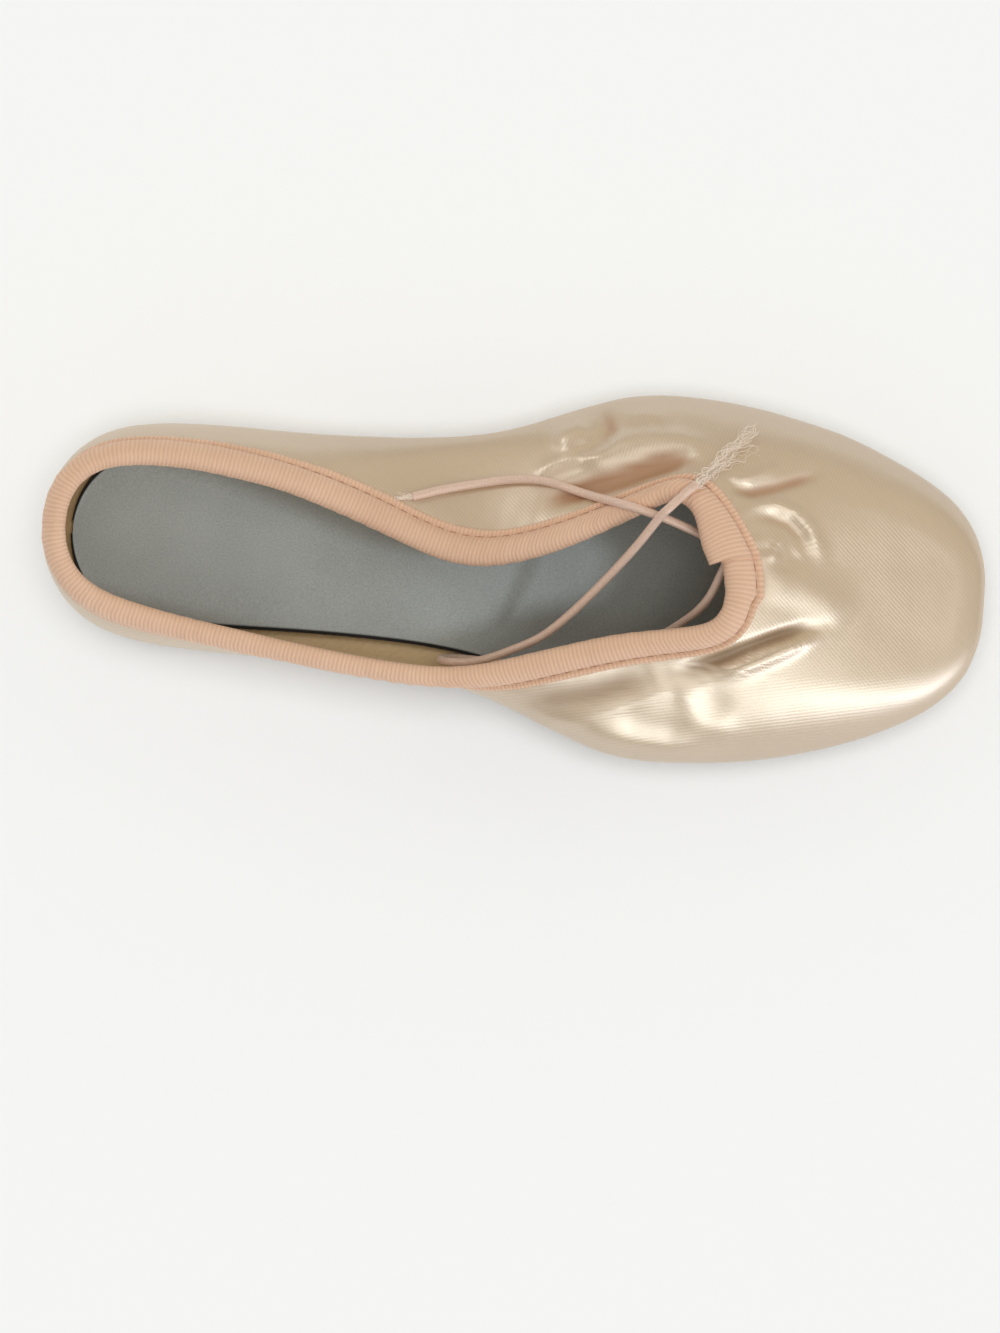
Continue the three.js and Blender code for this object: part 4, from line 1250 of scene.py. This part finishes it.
class SHOE_OT_drawstring(bpy.types.Operator):
    """Builds the drawstring's two free ends with their frayed tips"""

    bl_idname = "pointe_shoe.drawstring"
    bl_label = "Drawstring"

    def execute(self, context):
        tree = resting_surface()
        radius = sizes().cord_diameter / MM / 2
        sleeve, filament = elastic(), loose_fibre()
        for side, rows, tuft, count, spread in (
            ("short", SHORT_END, SHORT_TUFT, 26, 1.0),
            ("long", LONG_END, LONG_TUFT, 48, 3.1),
        ):
            line = route_of(tree, rows, radius)
            cord, spots = cord_curve(f"drawstring_{side}_end", line, radius)
            carried(cord, [f"drawstring_{side}"], [sleeve])
            brush = self.fibres(f"fray_{side}_fibres", tree, line, tuft, count, spread, radius)
            carried(brush, [f"fray_{side}"], [filament])
        return {"FINISHED"}

    def fibres(self, name, tree, line, tuft, count, spread, radius):
        """Curly filaments in a few loose wisps that open out from the cord's end."""
        random = np.random.default_rng(11)
        data = bpy.data.curves.new(name, "CURVE")
        data.dimensions = "3D"
        data.bevel_depth = 0.1 * MM
        data.bevel_resolution = 1
        tail = [(along * LENGTH, across * COLLAR_WIDTH, 0.0) for along, across in tuft]
        core = catmull([(*line[-4][:2], 0.0), (*line[-1][:2], 0.0), *tail[1:]], 14)[10:]
        heights = np.array([top_under(tree, p[0], p[1], 2 * HEEL_HEIGHT, 0.5) for p in core])
        heights[:5] = np.maximum(heights[:5], line[-1][2] - radius)
        side_way = unit(np.gradient(core, axis=0) @ np.array([[0, -1, 0], [1, 0, 0], [0, 0, 1.0]]))
        wisps = np.array([-0.9, 0.75, -0.15, 1.2]) * spread
        steps = 2 * len(core) - 1
        for n in range(count):
            wisp = wisps[n % 4]
            reach = random.uniform(0.3, 0.95) if n % 2 else random.uniform(0.8, 1.0)
            start = random.uniform(-0.8, 0.8) * radius
            drift = wisp + random.normal(0, 0.3) * spread
            # Each filament wanders by a few slow waves of its own.
            share = np.linspace(0, 1, steps)
            wander = np.zeros((3, steps))
            for turns in (1.3, 2.7, 5.1, 8.3):
                size = random.normal(0, 0.75 / turns**0.6, 3)
                phase = random.uniform(0, 6.28, 3)
                wander += size[:, None] * np.sin(turns * 2 * math.pi * share[None] * reach + phase[:, None])
            wander *= smooth(share * 4) * spread * 0.3
            lifted = abs(random.normal(0, 0.6)) * spread * 0.6
            spline = data.splines.new("POLY")
            spline.points.add(steps - 1)
            for k in range(steps):
                s = share[k] * reach
                at = s * (len(core) - 1)
                i = min(int(at), len(core) - 2)
                centre = mix(core[i], core[i + 1], at - i)
                high = mix(heights[i], heights[i + 1], at - i)
                open_up = smooth(share[k] * 3)
                swing = start * (1 - s) + drift * s**1.2 + wander[0, k]
                z = high + 0.15 + mix(radius, lifted * s + abs(wander[2, k]), open_up)
                way = unit(core[i + 1] - core[i])
                spot = centre + side_way[i] * swing + way * 0.8 * wander[1, k]
                spline.points[k].co = (*to_row((spot[0], spot[1], float(z))), 1)
                spline.points[k].radius = (1.3 if n % 3 == 0 else 0.6) * (1 - 0.5 * share[k])
        return placed(name, data)


class SHOE_OT_stage(bpy.types.Operator):
    """Sets the pale floor, the soft lights and the camera above the shoe"""

    bl_idname = "pointe_shoe.stage"
    bl_label = "Stage"

    def execute(self, context):
        scene = context.scene
        side = 1.6
        marks = np.linspace(-side, side, 9)
        rings = np.array([[(x, y, -0.0002) for y in marks] for x in marks])
        floor = grid_mesh("floor", rings, False, False)
        paper, _, shader, _ = new_material(
            "Paper_sheet_matt", [("Roughness", 0.9), ("Specular IOR Level", 0.2)]
        )
        shader.inputs["Base Color"].default_value = colour(linear("#F1F6FA"))
        floor.data.materials.append(paper)
        # A soft key stands almost overhead. A broad panel low on the near side gives gloss alone, as a window
        # would, and two small lamps pick out the toe and the heel. All are kept off the floor, which has an
        # even lamp of its own. Another lamp shines past the vamp on to the insole.
        insole = bpy.data.objects["insole_cloth"]
        for name, towards, angle, strength, warmth, subject, link in (
            ("key_light", (0.16, -0.14, 0.96), 50, 0.92, "#FFFAEE", floor, "EXCLUDE"),
            ("sheen_light", (0.42, -0.72, 0.56), 34, 1.05, "#FBFFF8", floor, "EXCLUDE"),
            ("toe_light", (0.75, -0.62, 0.22), 24, 0.7, "#F9FAFF", floor, "EXCLUDE"),
            ("heel_end_light", (-0.62, 0.42, 0.66), 12, 0.3, "#FFFDFA", floor, "EXCLUDE"),
            ("insole_light", (0.55, -0.1, 0.83), 9, 0.8, "#F6FBFF", insole, "INCLUDE"),
            ("floor_light", (0.0, 0.0, 1.0), 30, 1.82, "#FFFCFB", floor, "INCLUDE"),
        ):
            data = bpy.data.lights.new(name, "SUN")
            data.angle = math.radians(angle)
            data.energy = strength
            data.color = linear(warmth)
            light = placed(name, data)
            light.visible_diffuse = name != "sheen_light"
            light.location = towards
            light.rotation_euler = Vector(towards).to_track_quat("Z", "Y").to_euler()
            lit = bpy.data.collections.new(name + "_reach")
            lit.objects.link(subject)
            light.light_linking.receiver_collection = lit
            lit.collection_objects[0].light_linking.link_state = link
        # A pale room: ivory on the near side, straw on the far side, and dimmer straight overhead.
        world = bpy.data.worlds.new("pale_room")
        world.use_nodes = True
        tree = world.node_tree
        way = add_node(tree, "ShaderNodeTexCoord")
        split = add_node(tree, "ShaderNodeSeparateXYZ", (), [("Vector", way.outputs["Generated"])])
        side_share = add_node(
            tree,
            "ShaderNodeMapRange",
            [("From Min", -0.5), ("From Max", 0.5)],
            [("Value", split.outputs["Y"])],
        )
        sides = add_node(
            tree,
            "ShaderNodeMix",
            two_tone([0.45 * c for c in linear("#FFFCF6")], [0.8 * c for c in linear("#F6EEDA")]),
            [(0, side_share.outputs[0])],
        ).outputs[2]
        low_share = add_node(
            tree,
            "ShaderNodeMapRange",
            [("From Min", 0.35), ("From Max", 0.0)],
            [("Value", split.outputs["Z"])],
        )
        low = add_node(
            tree,
            "ShaderNodeMix",
            [("data_type", "RGBA"), (7, colour([0.42 * c for c in linear("#F0EEE8")]))],
            [(0, low_share.outputs[0]), (6, sides)],
        )
        top_share = add_node(
            tree,
            "ShaderNodeMapRange",
            [("From Min", 0.72), ("From Max", 0.97)],
            [("Value", split.outputs["Z"])],
        )
        whole = add_node(
            tree,
            "ShaderNodeMix",
            [("data_type", "RGBA"), (7, colour([0.17 * c for c in linear("#F4EAEA")]))],
            [(0, top_share.outputs[0]), (6, low.outputs[2])],
        )
        tree.links.new(whole.outputs[2], tree.nodes["Background"].inputs["Color"])
        scene.world = world
        scene.view_settings.view_transform = "Standard"
        # Straight down, rolled so that the shoe lies as it does in the photograph.
        distance = 1.1
        picture_width = 0.2537
        widest_line_height = 0.02
        data = bpy.data.cameras.new("camera")
        data.sensor_fit = "HORIZONTAL"
        data.sensor_width = 36
        data.lens = data.sensor_width * (distance - widest_line_height) / picture_width
        camera = placed("camera", data)
        camera.location = (-0.0012, -0.0259, distance)
        camera.rotation_euler = (0, 0, math.radians(5.1))
        scene.camera = camera
        return {"FINISHED"}


class SHOE_PT_panel(bpy.types.Panel):
    """Lists the shoe's sizes, colours and pieces"""

    bl_idname = "SHOE_PT_panel"
    bl_label = "Pointe Shoe"
    bl_space_type = "VIEW_3D"
    bl_region_type = "UI"
    bl_category = "Pointe Shoe"

    def draw(self, context):
        for group in (context.scene.pointe_shoe_sizes, context.scene.pointe_shoe_colours):
            column = self.layout.column()
            for key in group.bl_rna.properties.keys():
                if key not in ("rna_type", "name"):
                    column.prop(group, key)
        for operator in OPERATORS:
            self.layout.operator(operator.bl_idname)


OPERATORS = (
    SHOE_OT_upper,
    SHOE_OT_binding,
    SHOE_OT_stitches,
    SHOE_OT_insole,
    SHOE_OT_outsole,
    SHOE_OT_drawstring,
    SHOE_OT_stage,
)
CLASSES = (PointeShoeSizes, PointeShoeColours, *OPERATORS, SHOE_PT_panel)


def register():
    for made in CLASSES:
        bpy.utils.register_class(made)
    bpy.types.Scene.pointe_shoe_sizes = bpy.props.PointerProperty(type=PointeShoeSizes)
    bpy.types.Scene.pointe_shoe_colours = bpy.props.PointerProperty(type=PointeShoeColours)


def unregister():
    del bpy.types.Scene.pointe_shoe_colours
    del bpy.types.Scene.pointe_shoe_sizes
    for made in reversed(CLASSES):
        bpy.utils.unregister_class(made)


def main():
    register()
    bpy.ops.pointe_shoe.upper()
    bpy.ops.pointe_shoe.binding()
    bpy.ops.pointe_shoe.stitches()
    bpy.ops.pointe_shoe.insole()
    bpy.ops.pointe_shoe.outsole()
    bpy.ops.pointe_shoe.drawstring()
    bpy.ops.pointe_shoe.stage()


if __name__ == "__main__":
    main()
